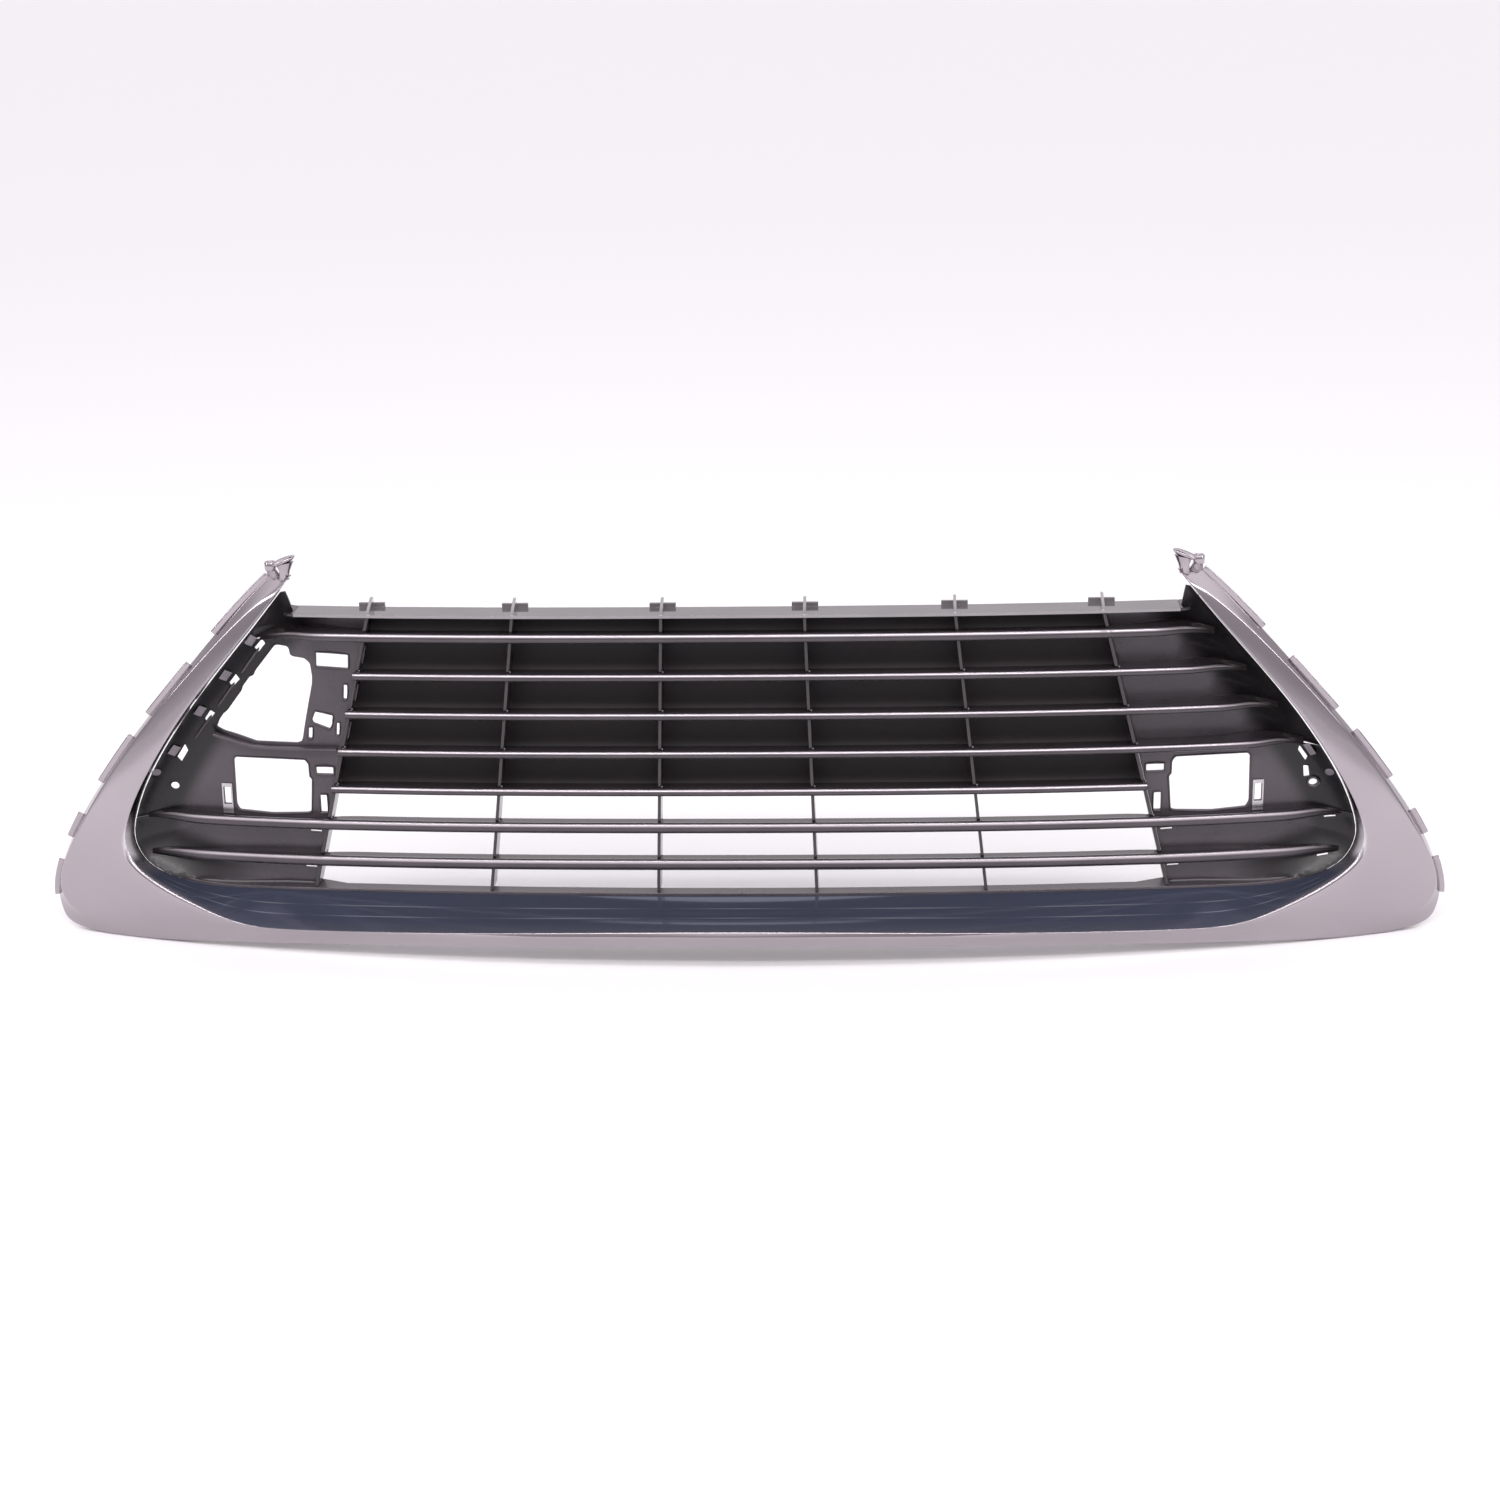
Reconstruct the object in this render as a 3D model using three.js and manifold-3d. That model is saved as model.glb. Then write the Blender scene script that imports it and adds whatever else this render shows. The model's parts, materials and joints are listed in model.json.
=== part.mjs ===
import * as THREE from 'three';
import { mergeVertices } from 'three/addons/utils/BufferGeometryUtils.js';
import Module from 'manifold-3d';

// Lower front grille: a U-shaped bright surround with two raked arms, seven louvre
// bars, six ribs, a closed back panel behind the upper rows and two side panel sets
// with windows. Millimetres, X across the car, Y to the rear, Z up. The front faces -Y.
// Everything is laid out from the middle of the rib fronts and moved to the middle of
// the whole part at the end by ORIGIN_SHIFT.

const wasm = await Module();
wasm.setup();

// ---- driving dimensions (mm) ----
const ORIGIN_SHIFT = [0, 7.4, -12.81];
const GAP = 0.35;                 // clear space between two neighbouring pieces
const SURROUND_SKIN = 2.6;        // wall of the bright surround
const FACE_BULGE = 0.035;         // crown of the surround face as a share of its width
const RETURN_FLANGE = [3, 9];     // rear return under the flange edge: arms, bottom
const TAB_OUT = 4.2;              // how far the outer snap tabs stand out
const TAB_THICK = 2.4;
const TAB_SPANS = [[156.5, 107.3], [81.4, 37.4], [18.2, -22.9], [-51.9, -72.7], [-93.7, -124.0]];
const BAR_Z = [104.9, 73.1, 41.3, 9.8, -21.4, -51.3, -82.1];
const BAR_HEIGHT = [7.2, 6.0, 6.0, 6.0, 6.0, 8.2, 8.6];
const BAR_NOSE = -5;              // nose ahead of the rib fronts
const BAR_BACK = 17;              // rear edge of the bar fin behind the rib fronts
const FIN_HALF = 1.1;
const WEDGE_RISE = 11;            // how far the fin rear edge climbs near the side walls
const WEDGE_LENGTH = 80;
const BAR_CUT = 2.2;              // cut bar ends stand past the end rib by this much
const RIB_X = [60.6, 188.6, 320.7];
const RIB_SPLAY = [0.033, 0.113, 0.244];
const RIB_THICK = [2.6, 2.6, 3.0];
const RIB_FRONT = 1;
const RIB_REAR = 23.2;
const RIB_TOP = 119.9;
const RAIL_Z = [120.6, 123.0];
const RAIL_Y = [-2, 25];
const RAIL_HALF = 351;
const LUG_HALF = 10.5;            // half width of the T-shaped locating lugs
const BACK_Y = 24;                // front of the closed back panel
const SIDE_Y = 20;                // front of the upper side panels behind the rib fronts
const WINDOW_Y = 10;              // the same for the window panels and lower side panels
const PANEL_SKIN = 2.5;
const WALL_BAND = 46;             // width over which a side panel curves forward to the rim
const BOTTOM_RAIL_H = 2.4;

// rear edge of the inward return, which is also the edge of the opening
const RIM_BACK = [
  [345.5, -1.2, 159.1], [356.6, 0.4, 145.4], [367.9, 2.0, 131.8], [379.3, 3.6, 118.1], [390.9, 5.4, 104.5],
  [402.6, 7.2, 90.8], [414.4, 9.1, 77.1], [426.0, 11.0, 63.1], [437.2, 13.0, 49.2], [447.6, 14.8, 35.5],
  [456.9, 16.5, 22.4], [465.2, 18.0, 10.2], [472.5, 19.5, -1.3], [479.1, 20.8, -12.5], [485.4, 22.2, -24.4],
  [491.2, 23.6, -37.6], [495.7, 24.7, -50.6], [498.0, 25.2, -61.0], [498.1, 25.1, -68.5], [496.9, 24.8, -74.4],
  [494.8, 24.3, -79.6], [492.0, 23.7, -84.5], [488.2, 23.1, -89.1], [482.9, 22.3, -93.4], [475.8, 21.4, -97.4],
  [467.4, 20.5, -100.9], [458.2, 19.6, -103.7], [448.6, 18.7, -105.8], [438.9, 17.8, -107.3], [429.0, 16.8, -108.3],
  [418.8, 15.4, -108.8], [408.4, 13.9, -108.9], [398.0, 12.4, -108.8], [387.1, 10.9, -108.8], [373.3, 9.2, -108.6],
  [352.5, 7.0, -108.5], [322.2, 4.2, -108.3], [284.8, 1.3, -108.2], [244.5, -1.2, -108.3], [203.8, -3.1, -108.4],
  [163.0, -4.5, -108.6], [122.3, -5.5, -108.7], [81.5, -6.1, -108.9], [40.8, -6.5, -109.0], [0.0, -6.5, -109.0],
];
// sharp edge between the return and the face
const RIM_EDGE = [
  [346.1, -11.2, 159.6], [357.2, -10.1, 145.9], [368.4, -8.9, 132.2], [379.8, -7.7, 118.6], [391.4, -6.3, 105.1],
  [403.2, -4.8, 91.5], [415.0, -3.3, 77.7], [426.9, -1.7, 63.8], [438.4, -0.2, 49.6], [449.1, 1.3, 35.4],
  [458.5, 2.5, 22.0], [466.6, 3.6, 9.9], [473.6, 4.5, -1.2], [480.1, 5.4, -11.9], [486.2, 6.2, -22.7],
  [491.8, 6.8, -33.7], [496.4, 7.2, -44.4], [499.7, 7.4, -54.0], [501.4, 7.3, -61.8], [501.7, 7.0, -68.2],
  [500.8, 6.4, -73.9], [498.8, 5.6, -79.0], [495.4, 4.4, -83.9], [490.2, 2.8, -89.0], [483.0, 0.7, -94.3],
  [474.2, -1.7, -99.8], [464.5, -4.3, -104.9], [454.6, -6.9, -109.8], [444.6, -9.5, -114.4], [434.6, -11.9, -118.6],
  [424.5, -14.3, -122.3], [414.4, -16.7, -125.3], [404.1, -18.9, -127.7], [393.1, -21.2, -129.3], [379.0, -23.9, -130.0],
  [357.8, -27.7, -129.8], [326.9, -32.7, -128.9], [288.9, -38.3, -127.6], [248.1, -43.7, -126.1], [206.7, -48.3, -124.6],
  [165.4, -52.0, -123.0], [124.0, -54.9, -121.6], [82.7, -57.0, -120.5], [41.3, -58.3, -119.8], [0.0, -59.2, -119.3],
];
// crease between the face and the outer flange
const FACE_CREASE = [
  [349.9, -7.6, 157.9], [365.0, -5.6, 145.5], [379.9, -3.5, 132.8], [394.6, -1.4, 119.7], [408.9, 0.7, 105.9],
  [422.9, 2.7, 91.6], [436.8, 4.9, 77.0], [450.7, 7.1, 62.1], [464.2, 9.3, 46.9], [477.1, 11.5, 31.9],
  [488.7, 13.4, 17.9], [498.6, 15.2, 5.5], [507.3, 16.8, -5.8], [515.3, 18.3, -16.7], [522.9, 19.7, -27.7],
  [530.4, 21.1, -38.9], [537.5, 22.4, -50.0], [544.1, 23.8, -60.5], [550.0, 25.1, -70.2], [555.1, 26.4, -79.4],
  [559.7, 27.6, -88.5], [563.3, 28.5, -97.7], [565.4, 28.8, -106.8], [565.2, 28.3, -115.4], [562.4, 26.8, -122.9],
  [557.1, 24.4, -128.8], [550.0, 21.5, -133.0], [541.4, 18.3, -135.7], [531.0, 14.8, -137.4], [517.1, 10.6, -138.5],
  [498.9, 5.5, -139.0], [477.4, -0.2, -138.9], [454.6, -5.8, -138.3], [431.5, -11.3, -137.3], [406.6, -16.8, -136.3],
  [377.0, -22.8, -135.0], [341.0, -29.4, -133.4], [300.3, -36.2, -131.7], [257.7, -42.5, -129.9], [214.8, -47.9, -128.3],
  [171.8, -52.3, -126.8], [128.9, -55.8, -125.6], [85.9, -58.3, -124.7], [43.0, -59.9, -124.1], [0.0, -61.0, -123.7],
];
// rear edge of the outer flange
const FLANGE_EDGE = [
  [362.2, 5.7, 159.9], [376.3, 7.5, 146.5], [390.2, 9.3, 132.9], [403.8, 11.1, 118.7], [417.2, 12.9, 104.2],
  [430.4, 14.7, 89.4], [443.7, 16.6, 74.4], [457.1, 18.7, 59.2], [470.4, 20.8, 44.0], [483.1, 22.8, 29.0],
  [494.6, 24.7, 15.0], [504.3, 26.4, 2.5], [512.8, 28.0, -8.8], [520.8, 29.5, -19.7], [528.7, 31.0, -30.6],
  [536.3, 32.4, -41.7], [543.5, 33.9, -52.7], [549.9, 35.2, -63.4], [555.4, 36.4, -73.4], [560.1, 37.6, -82.9],
  [564.2, 38.6, -92.4], [567.7, 39.4, -101.8], [570.2, 39.9, -111.0], [571.3, 39.5, -119.1], [571.0, 38.3, -125.7],
  [569.7, 36.4, -131.2], [567.7, 34.2, -136.0], [564.9, 31.8, -140.5], [559.3, 28.7, -144.6], [547.9, 24.1, -147.9],
  [528.8, 17.7, -150.0], [504.0, 10.2, -150.5], [477.0, 2.4, -149.8], [449.5, -5.0, -148.3], [420.5, -12.2, -146.4],
  [387.7, -19.5, -144.3], [349.6, -26.9, -142.1], [307.5, -34.1, -140.0], [263.8, -40.7, -138.1], [219.8, -46.2, -136.4],
  [175.8, -50.8, -134.9], [131.9, -54.3, -133.8], [87.9, -56.8, -133.0], [44.0, -58.4, -132.5], [0.0, -59.5, -132.1],
];

const N_ST = RIM_BACK.length;

// ---- outlines of the windows and slots (x, z), right-hand ones mirrored for the left ----
const LOWER_WINDOW = [[349, -45], [347, -17.5], [349, -15.5], [349.2, -5], [351.8, -1.6], [409.5, -1], [411.8, -3], [412.2, -41], [410, -45.8], [382, -47.5], [352.5, -46]];
const SLOT_UPPER = [[328.4, -12.8], [328.4, -6.8], [342.5, -6.8], [342.5, -12.8]];
const SLOT_LOWER = [[335, -45.2], [335, -30.6], [340.6, -30.6], [340.6, -45.2]];
const SLOT_CLIP = [[416.7, -41.2], [416.7, -27], [422.2, -27], [422.2, -41.2]];
const RAKED_SLOT_RIGHT = [[450.3, 6], [457.4, -3.8], [456.3, -7.9], [449.6, 1.8]];
const STUB_SLOT_RIGHT = [[454.8, -12.1], [458.6, -12.2], [460.4, -21.7], [456, -22.8]];
const ROUND_HOLE = [463.3, -26.6, 3.3];
const BIG_OPENING = [[-423.4, 25.2], [-420.5, 31.5], [-416.6, 36.9], [-413.3, 39.3], [-399.8, 56.7], [-398.6, 60.3], [-391.7, 69.0], [-389.0, 69.6], [-386.7, 74.1], [-369.0, 95.6], [-366.7, 95.8], [-360.0, 94.0], [-358.7, 91.9], [-358.2, 86.5], [-356.1, 85.0], [-346.4, 83.4], [-342.3, 79.3], [-341.2, 68.6], [-341.7, 62.8], [-349.3, 30.9], [-352.1, 17.4], [-353.5, 14.0], [-356.9, 12.8], [-391.5, 13.0], [-417.8, 21.4]];
const LEFT_SLOTS = [
  [[-336.7, 88.6], [-310.6, 87.2], [-311.2, 75.9], [-337.2, 77.2]],
  [[-340.4, 39.5], [-326.1, 36.5], [-327.2, 28.9], [-329.3, 25.4], [-342.6, 30.2], [-343.3, 32.7]],
  [[-315.4, 62.1], [-312.3, 62.2], [-313.4, 50.5], [-316.3, 50.5]],
  [[-323.0, 30.3], [-320.6, 30.4], [-321.6, 20.3], [-324.0, 20.2]],
  [[-346.6, 25.6], [-343.4, 26.2], [-344.3, 17.2], [-347.4, 17.1]],
  [[-450.4, 10.1], [-449.3, 5.0], [-454.9, -3.6], [-456.9, 0.5]],
  [[-406.0, 61.4], [-407.0, 65.3], [-401.9, 71.6], [-400.3, 67.2]],
  [[-429.9, 30.2], [-430.8, 33.7], [-426.2, 40.0], [-423.9, 37.6]],
  [[-377.5, 102.0], [-376.2, 98.2], [-381.4, 92.0], [-383.2, 95.6]],
];
const TONGUES_LEFT = [[-384.4, 103.6], [-408.4, 73.4], [-432.6, 42.2], [-457.8, 7.6]];
const TONGUE_RIGHT = [457.6, 4.4];
const UNDER_SLOTS = [[345.8, -61.6], [351.8, -92.4]];

// ---- surfaces: every piece hangs on these two ----
const barFront = (x, z) => 6e-5 * x * x + 3.8e-10 * x ** 4 + 0.043 * z;

function rimNear(x, z) {
  const ax = Math.abs(x);
  let best = 1e9, at = null;
  for (let i = 0; i < N_ST - 1; i++) {
    const a = RIM_BACK[i], b = RIM_BACK[i + 1];
    const dx = b[0] - a[0], dz = b[2] - a[2];
    let t = ((ax - a[0]) * dx + (z - a[2]) * dz) / (dx * dx + dz * dz);
    t = Math.min(1, Math.max(0, t));
    const d = Math.hypot(ax - a[0] - dx * t, z - a[2] - dz * t);
    if (d < best) { best = d; at = { i: i + t, y: a[1] + (b[1] - a[1]) * t, d }; }
  }
  return at;
}
function sideFront(x, z, depth) {
  const flat = barFront(x, z) + depth;
  const r = rimNear(x, z);
  const share = r.i <= 26 ? 1 : r.i >= 34 ? 0 : (34 - r.i) / 8;
  const g = Math.max(0, 1 - r.d / WALL_BAND) ** 2;
  return flat - (flat - (r.y - 1.5)) * g * share;
}

// ---- small vector helpers ----
const sub = (a, b) => [a[0] - b[0], a[1] - b[1], a[2] - b[2]];
const add = (a, b) => [a[0] + b[0], a[1] + b[1], a[2] + b[2]];
const mul = (a, s) => [a[0] * s, a[1] * s, a[2] * s];
const dot = (a, b) => a[0] * b[0] + a[1] * b[1] + a[2] * b[2];
const cross = (a, b) => [a[1] * b[2] - a[2] * b[1], a[2] * b[0] - a[0] * b[2], a[0] * b[1] - a[1] * b[0]];
const unit = (a) => mul(a, 1 / Math.hypot(...a));
const mix = (a, b, t) => add(mul(a, 1 - t), mul(b, t));

// ---- geometry to solid and back ----
function toSolid(geometry) {
  const g = geometry.clone();
  g.deleteAttribute('normal');
  g.deleteAttribute('uv');
  const m = mergeVertices(g, 1e-5);
  return new wasm.Manifold(new wasm.Mesh({
    numProp: 3,
    vertProperties: new Float32Array(m.attributes.position.array),
    triVerts: new Uint32Array(m.index.array),
  }));
}
function toGeometry(solid) {
  const mesh = solid.getMesh();
  const g = new THREE.BufferGeometry();
  g.setAttribute('position', new THREE.BufferAttribute(new Float32Array(mesh.vertProperties), 3));
  g.setIndex(new THREE.BufferAttribute(new Uint32Array(mesh.triVerts), 1));
  return g;
}
// A closed body through equal-length rings of points, flat capped at both ends.
function loft(rings) {
  const n = rings[0].length, pos = [], idx = [];
  for (const r of rings) for (const p of r) pos.push(...p);
  for (let i = 0; i < rings.length - 1; i++) {
    for (let j = 0; j < n; j++) {
      const a = i * n + j, b = i * n + (j + 1) % n, c = a + n, d = b + n;
      idx.push(a, b, d, a, d, c);
    }
  }
  const cap = (k, flip) => {
    const r = rings[k];
    const c = mul(r.reduce(add, [0, 0, 0]), 1 / n);
    let nrm = [0, 0, 0];
    for (let j = 0; j < n; j++) nrm = add(nrm, cross(sub(r[j], c), sub(r[(j + 1) % n], c)));
    nrm = unit(nrm);
    const u = unit(sub(sub(r[1], r[0]), mul(nrm, dot(sub(r[1], r[0]), nrm))));
    const v = cross(nrm, u);
    const flat = r.map((p) => new THREE.Vector2(dot(sub(p, c), u), dot(sub(p, c), v)));
    for (const [a, b, d] of THREE.ShapeUtils.triangulateShape(flat, [])) {
      if (flip) idx.push(k * n + a, k * n + d, k * n + b); else idx.push(k * n + a, k * n + b, k * n + d);
    }
  };
  cap(0, true);
  cap(rings.length - 1, false);
  let vol = 0;
  for (let t = 0; t < idx.length; t += 3) {
    const p = [0, 1, 2].map((q) => pos.slice(idx[t + q] * 3, idx[t + q] * 3 + 3));
    vol += dot(p[0], cross(p[1], p[2]));
  }
  if (vol < 0) for (let t = 0; t < idx.length; t += 3) [idx[t], idx[t + 1]] = [idx[t + 1], idx[t]];
  const g = new THREE.BufferGeometry();
  g.setAttribute('position', new THREE.BufferAttribute(new Float32Array(pos), 3));
  g.setIndex(idx);
  return g;
}
// A flat outline in x and z with holes, pushed through along Y.
function prism(outline, holes, y0, y1) {
  const flat = outline.map(([x, z]) => new THREE.Vector2(x, z));
  if (THREE.ShapeUtils.isClockWise(flat)) flat.reverse();
  const shape = new THREE.Shape(flat);
  for (const h of holes) shape.holes.push(new THREE.Path(h.map(([x, z]) => new THREE.Vector2(x, z))));
  const g = new THREE.ExtrudeGeometry(shape, { depth: y1 - y0, bevelEnabled: false, steps: 1 });
  g.rotateX(Math.PI / 2);            // x, y, z -> x, -z, y
  g.translate(0, y1, 0);
  return g;
}
// A closed sheet following front(x, z), thick along Y.
function sheet(x0, x1, nx, z0, z1, nz, front, thick) {
  const pos = [], idx = [], w = nx + 1, m = w * (nz + 1);
  for (let s = 0; s < 2; s++) for (let j = 0; j <= nz; j++) for (let i = 0; i <= nx; i++) {
    const x = x0 + (x1 - x0) * i / nx, z = z0 + (z1 - z0) * j / nz;
    pos.push(x, front(x, z) + s * thick, z);
  }
  const quad = (a, b, c, d) => idx.push(a, b, c, a, c, d);
  for (let j = 0; j < nz; j++) for (let i = 0; i < nx; i++) {
    const a = j * w + i, b = a + 1, c = b + w, d = a + w;
    quad(a, b, c, d);
    quad(m + a, m + d, m + c, m + b);
  }
  for (let i = 0; i < nx; i++) {
    quad(m + i, m + i + 1, i + 1, i);
    const t = nz * w + i;
    quad(t, t + 1, m + t + 1, m + t);
  }
  for (let j = 0; j < nz; j++) {
    const a = j * w, b = a + w;
    quad(a, b, m + b, m + a);
    const c = j * w + nx, d = c + w;
    quad(m + c, m + d, d, c);
  }
  const g = new THREE.BufferGeometry();
  g.setAttribute('position', new THREE.BufferAttribute(new Float32Array(pos), 3));
  g.setIndex(idx);
  return g;
}
const disc = (x, z, r, n = 16) => Array.from({ length: n }, (_, k) => [x + r * Math.cos(2 * Math.PI * k / n), z + r * Math.sin(2 * Math.PI * k / n)]);
const mirrored = (pts) => pts.map(([x, z]) => [-x, z]).reverse();
function box(x0, x1, y0, y1, z0, z1) {
  const g = new THREE.BoxGeometry(x1 - x0, y1 - y0, z1 - z0);
  g.translate((x0 + x1) / 2, (y0 + y1) / 2, (z0 + z1) / 2);
  return g;
}

// ---- the rim of the opening ----
const inward = RIM_BACK.map((p, i) => {
  const a = RIM_BACK[Math.max(0, i - 1)], b = RIM_BACK[Math.min(N_ST - 1, i + 1)];
  const l = Math.hypot(b[0] - a[0], b[2] - a[2]);
  return [(b[2] - a[2]) / l, -(b[0] - a[0]) / l];
});
const rimInset = (i) => 0.6 + (BOTTOM_RAIL_H + 0.2) * Math.min(1, Math.max(0, (i - 25) / 3));
const RIM = RIM_BACK.map((p, i) => [p[0] + inward[i][0] * rimInset(i), p[2] + inward[i][1] * rimInset(i)]);
function rimAtZ(z) {
  for (let i = 0; i < N_ST - 1; i++) {
    const [xa, za] = RIM[i], [xb, zb] = RIM[i + 1];
    if (z <= za && z >= zb) { const t = (za - z) / (za - zb); return [xa + (xb - xa) * t, z]; }
  }
  return RIM[0];
}
const rimBetween = (zHi, zLo) => [rimAtZ(zHi), ...RIM.filter((p, i) => i < 30 && p[1] < zHi - 0.5 && p[1] > zLo + 0.5), rimAtZ(zLo)];
const ribX = (k, z) => RIB_X[k] - RIB_SPLAY[k] * z;

// ---- bright surround ----
function surroundSection(i) {
  const [a, b, c, d] = [RIM_BACK[i], RIM_EDGE[i], FACE_CREASE[i], FLANGE_EDGE[i]];
  const wide = Math.hypot(...sub(c, b));
  const out = unit(cross(sub(c, b), sub(RIM_EDGE[Math.min(i + 1, N_ST - 1)], RIM_EDGE[Math.max(i - 1, 0)])));
  const n = out[1] > 0 ? mul(out, -1) : out;
  const f1 = add(mix(b, c, 0.33), mul(n, wide * FACE_BULGE));
  const f2 = add(mix(b, c, 0.7), mul(n, wide * FACE_BULGE * 0.9));
  const e = mix(c, d, 0.55);
  const k = Math.min(1, i / 40);
  const last = add(d, [0, RETURN_FLANGE[0] + (RETURN_FLANGE[1] - RETURN_FLANGE[0]) * k, 0]);
  return [a, b, f1, f2, c, e, d, last];
}
function surround() {
  const half = Array.from({ length: N_ST }, (_, i) => surroundSection(i));
  const flip = (s) => s.map(([x, y, z]) => [-x, y, z]);
  const path = [...half, ...half.slice(0, -1).reverse().map(flip)];
  const skinAt = (i) => { const q = Math.min(i, path.length - 1 - i); return SURROUND_SKIN - 1.2 * Math.max(0, 1 - q / 7); };
  const rings = path.map((s, i) => {
    const before = path[Math.max(0, i - 1)], after = path[Math.min(path.length - 1, i + 1)];
    const normals = [];
    for (let j = 0; j < s.length - 1; j++) {
      const t = unit(add(sub(after[j], before[j]), sub(after[j + 1], before[j + 1])));
      normals.push(unit(cross(sub(s[j + 1], s[j]), t)));
    }
    if (normals[2][1] < 0) for (let j = 0; j < normals.length; j++) normals[j] = mul(normals[j], -1);
    const inner = s.map((p, j) => {
      const na = normals[Math.max(0, j - 1)], nb = normals[Math.min(normals.length - 1, j)];
      const v = mul(add(na, nb), 1 / Math.max(0.35, 1 + dot(na, nb)));
      return add(p, mul(v, skinAt(i)));
    });
    return [...s, ...inner.reverse()];
  });
  let body = toSolid(loft(rings));
  for (const side of [1, -1]) {
    for (const [zHi, zLo] of TAB_SPANS) body = body.add(toSolid(tab(side, zHi, zLo)));
    body = body.add(tip(side));
  }
  return body;
}
function flangeAtZ(z) {
  for (let i = 0; i < 30; i++) {
    const a = FLANGE_EDGE[i], b = FLANGE_EDGE[i + 1];
    if (z <= a[2] && z >= b[2]) return i + (a[2] - z) / (a[2] - b[2]);
  }
  return 0;
}
function tab(side, zHi, zLo) {
  const ia = flangeAtZ(zHi), ib = flangeAtZ(zLo);
  const ks = [ia]; for (let i = Math.ceil(ia + 0.2); i < ib - 0.2; i++) ks.push(i); ks.push(ib);
  const rings = ks.map((s, q) => {
    const i = Math.min(N_ST - 2, Math.floor(s)), f = s - i;
    const p = mix(FLANGE_EDGE[i], FLANGE_EDGE[i + 1], f);
    const d = sub(FLANGE_EDGE[i + 1], FLANGE_EDGE[i]);
    const l = Math.hypot(d[0], d[2]);
    const out = [-d[2] / l, 0, d[0] / l];
    const y0 = 0.2, y1 = y0 + TAB_THICK;
    const ring = [
      add(p, add(mul(out, -1.4), [0, y0, 0])), add(p, add(mul(out, TAB_OUT), [0, y0, 0])),
      add(p, add(mul(out, TAB_OUT), [0, y1, 0])), add(p, add(mul(out, -1.4), [0, y1, 0])),
    ];
    return ring.map(([x, y, z]) => [side * x, y, z]);
  });
  return loft(rings);
}
// The end of each arm: a closing wall, a short neck, a hooked cap and a small eyelet.
function tip(side) {
  const s0 = surroundSection(0), s1 = surroundSection(1);
  const ring = (s, t) => [s[0], s[1], s[2], s[3], s[4], s[5], s[6]].map((p, j) => mix(p, s[j], t));
  const a = ring(s0, 0), b = s1.slice(0, 7).map((p, j) => mix(s0[j], p, 0.16));
  let m = toSolid(loft([a, b]));
  const neck = loft([
    [[343.6, -8.5, 157.2], [353.5, -8.5, 155.6], [355.5, 1.5, 155.0], [345.4, 1.5, 157.0]],
    [[343.2, -8.5, 163.5], [354.2, -8.5, 163.0], [355.0, 1.0, 163.0], [343.6, 1.0, 163.5]],
    [[341.8, -9.5, 170.5], [356.0, -9.5, 169.0], [356.0, 0.5, 169.0], [341.8, 0.5, 170.5]],
  ]);
  m = m.add(toSolid(neck));
  const cap = new THREE.SphereGeometry(1, 14, 8);
  cap.scale(9.8, 6.2, 3.5);
  cap.rotateY(0.32);
  cap.translate(350.6, -4.6, 171.6);
  m = m.add(toSolid(cap));
  const eye = new THREE.CylinderGeometry(4.6, 4.6, 7, 18);
  eye.translate(361.4, -2.5, 167.2);
  m = m.add(toSolid(eye));
  const foot = loft([
    [[353.5, -1.5, 156.2], [364.5, 3.0, 157.2], [366.5, 9.5, 156.8], [353.0, 4.0, 155.8]],
    [[357.0, -5.5, 164.5], [365.2, -5.5, 166.5], [365.2, 0.8, 166.5], [357.0, 0.8, 164.5]],
  ]);
  m = m.add(toSolid(foot));
  const bore = new THREE.CylinderGeometry(1.7, 1.7, 20, 14);
  bore.translate(361.2, -2.5, 168.2);
  m = m.subtract(toSolid(bore));
  if (side > 0) return m;
  const g = toGeometry(m);
  g.scale(-1, 1, 1);
  const ix = g.index.array;
  for (let t = 0; t < ix.length; t += 3) [ix[t], ix[t + 1]] = [ix[t + 1], ix[t]];
  return toSolid(g);
}

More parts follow.
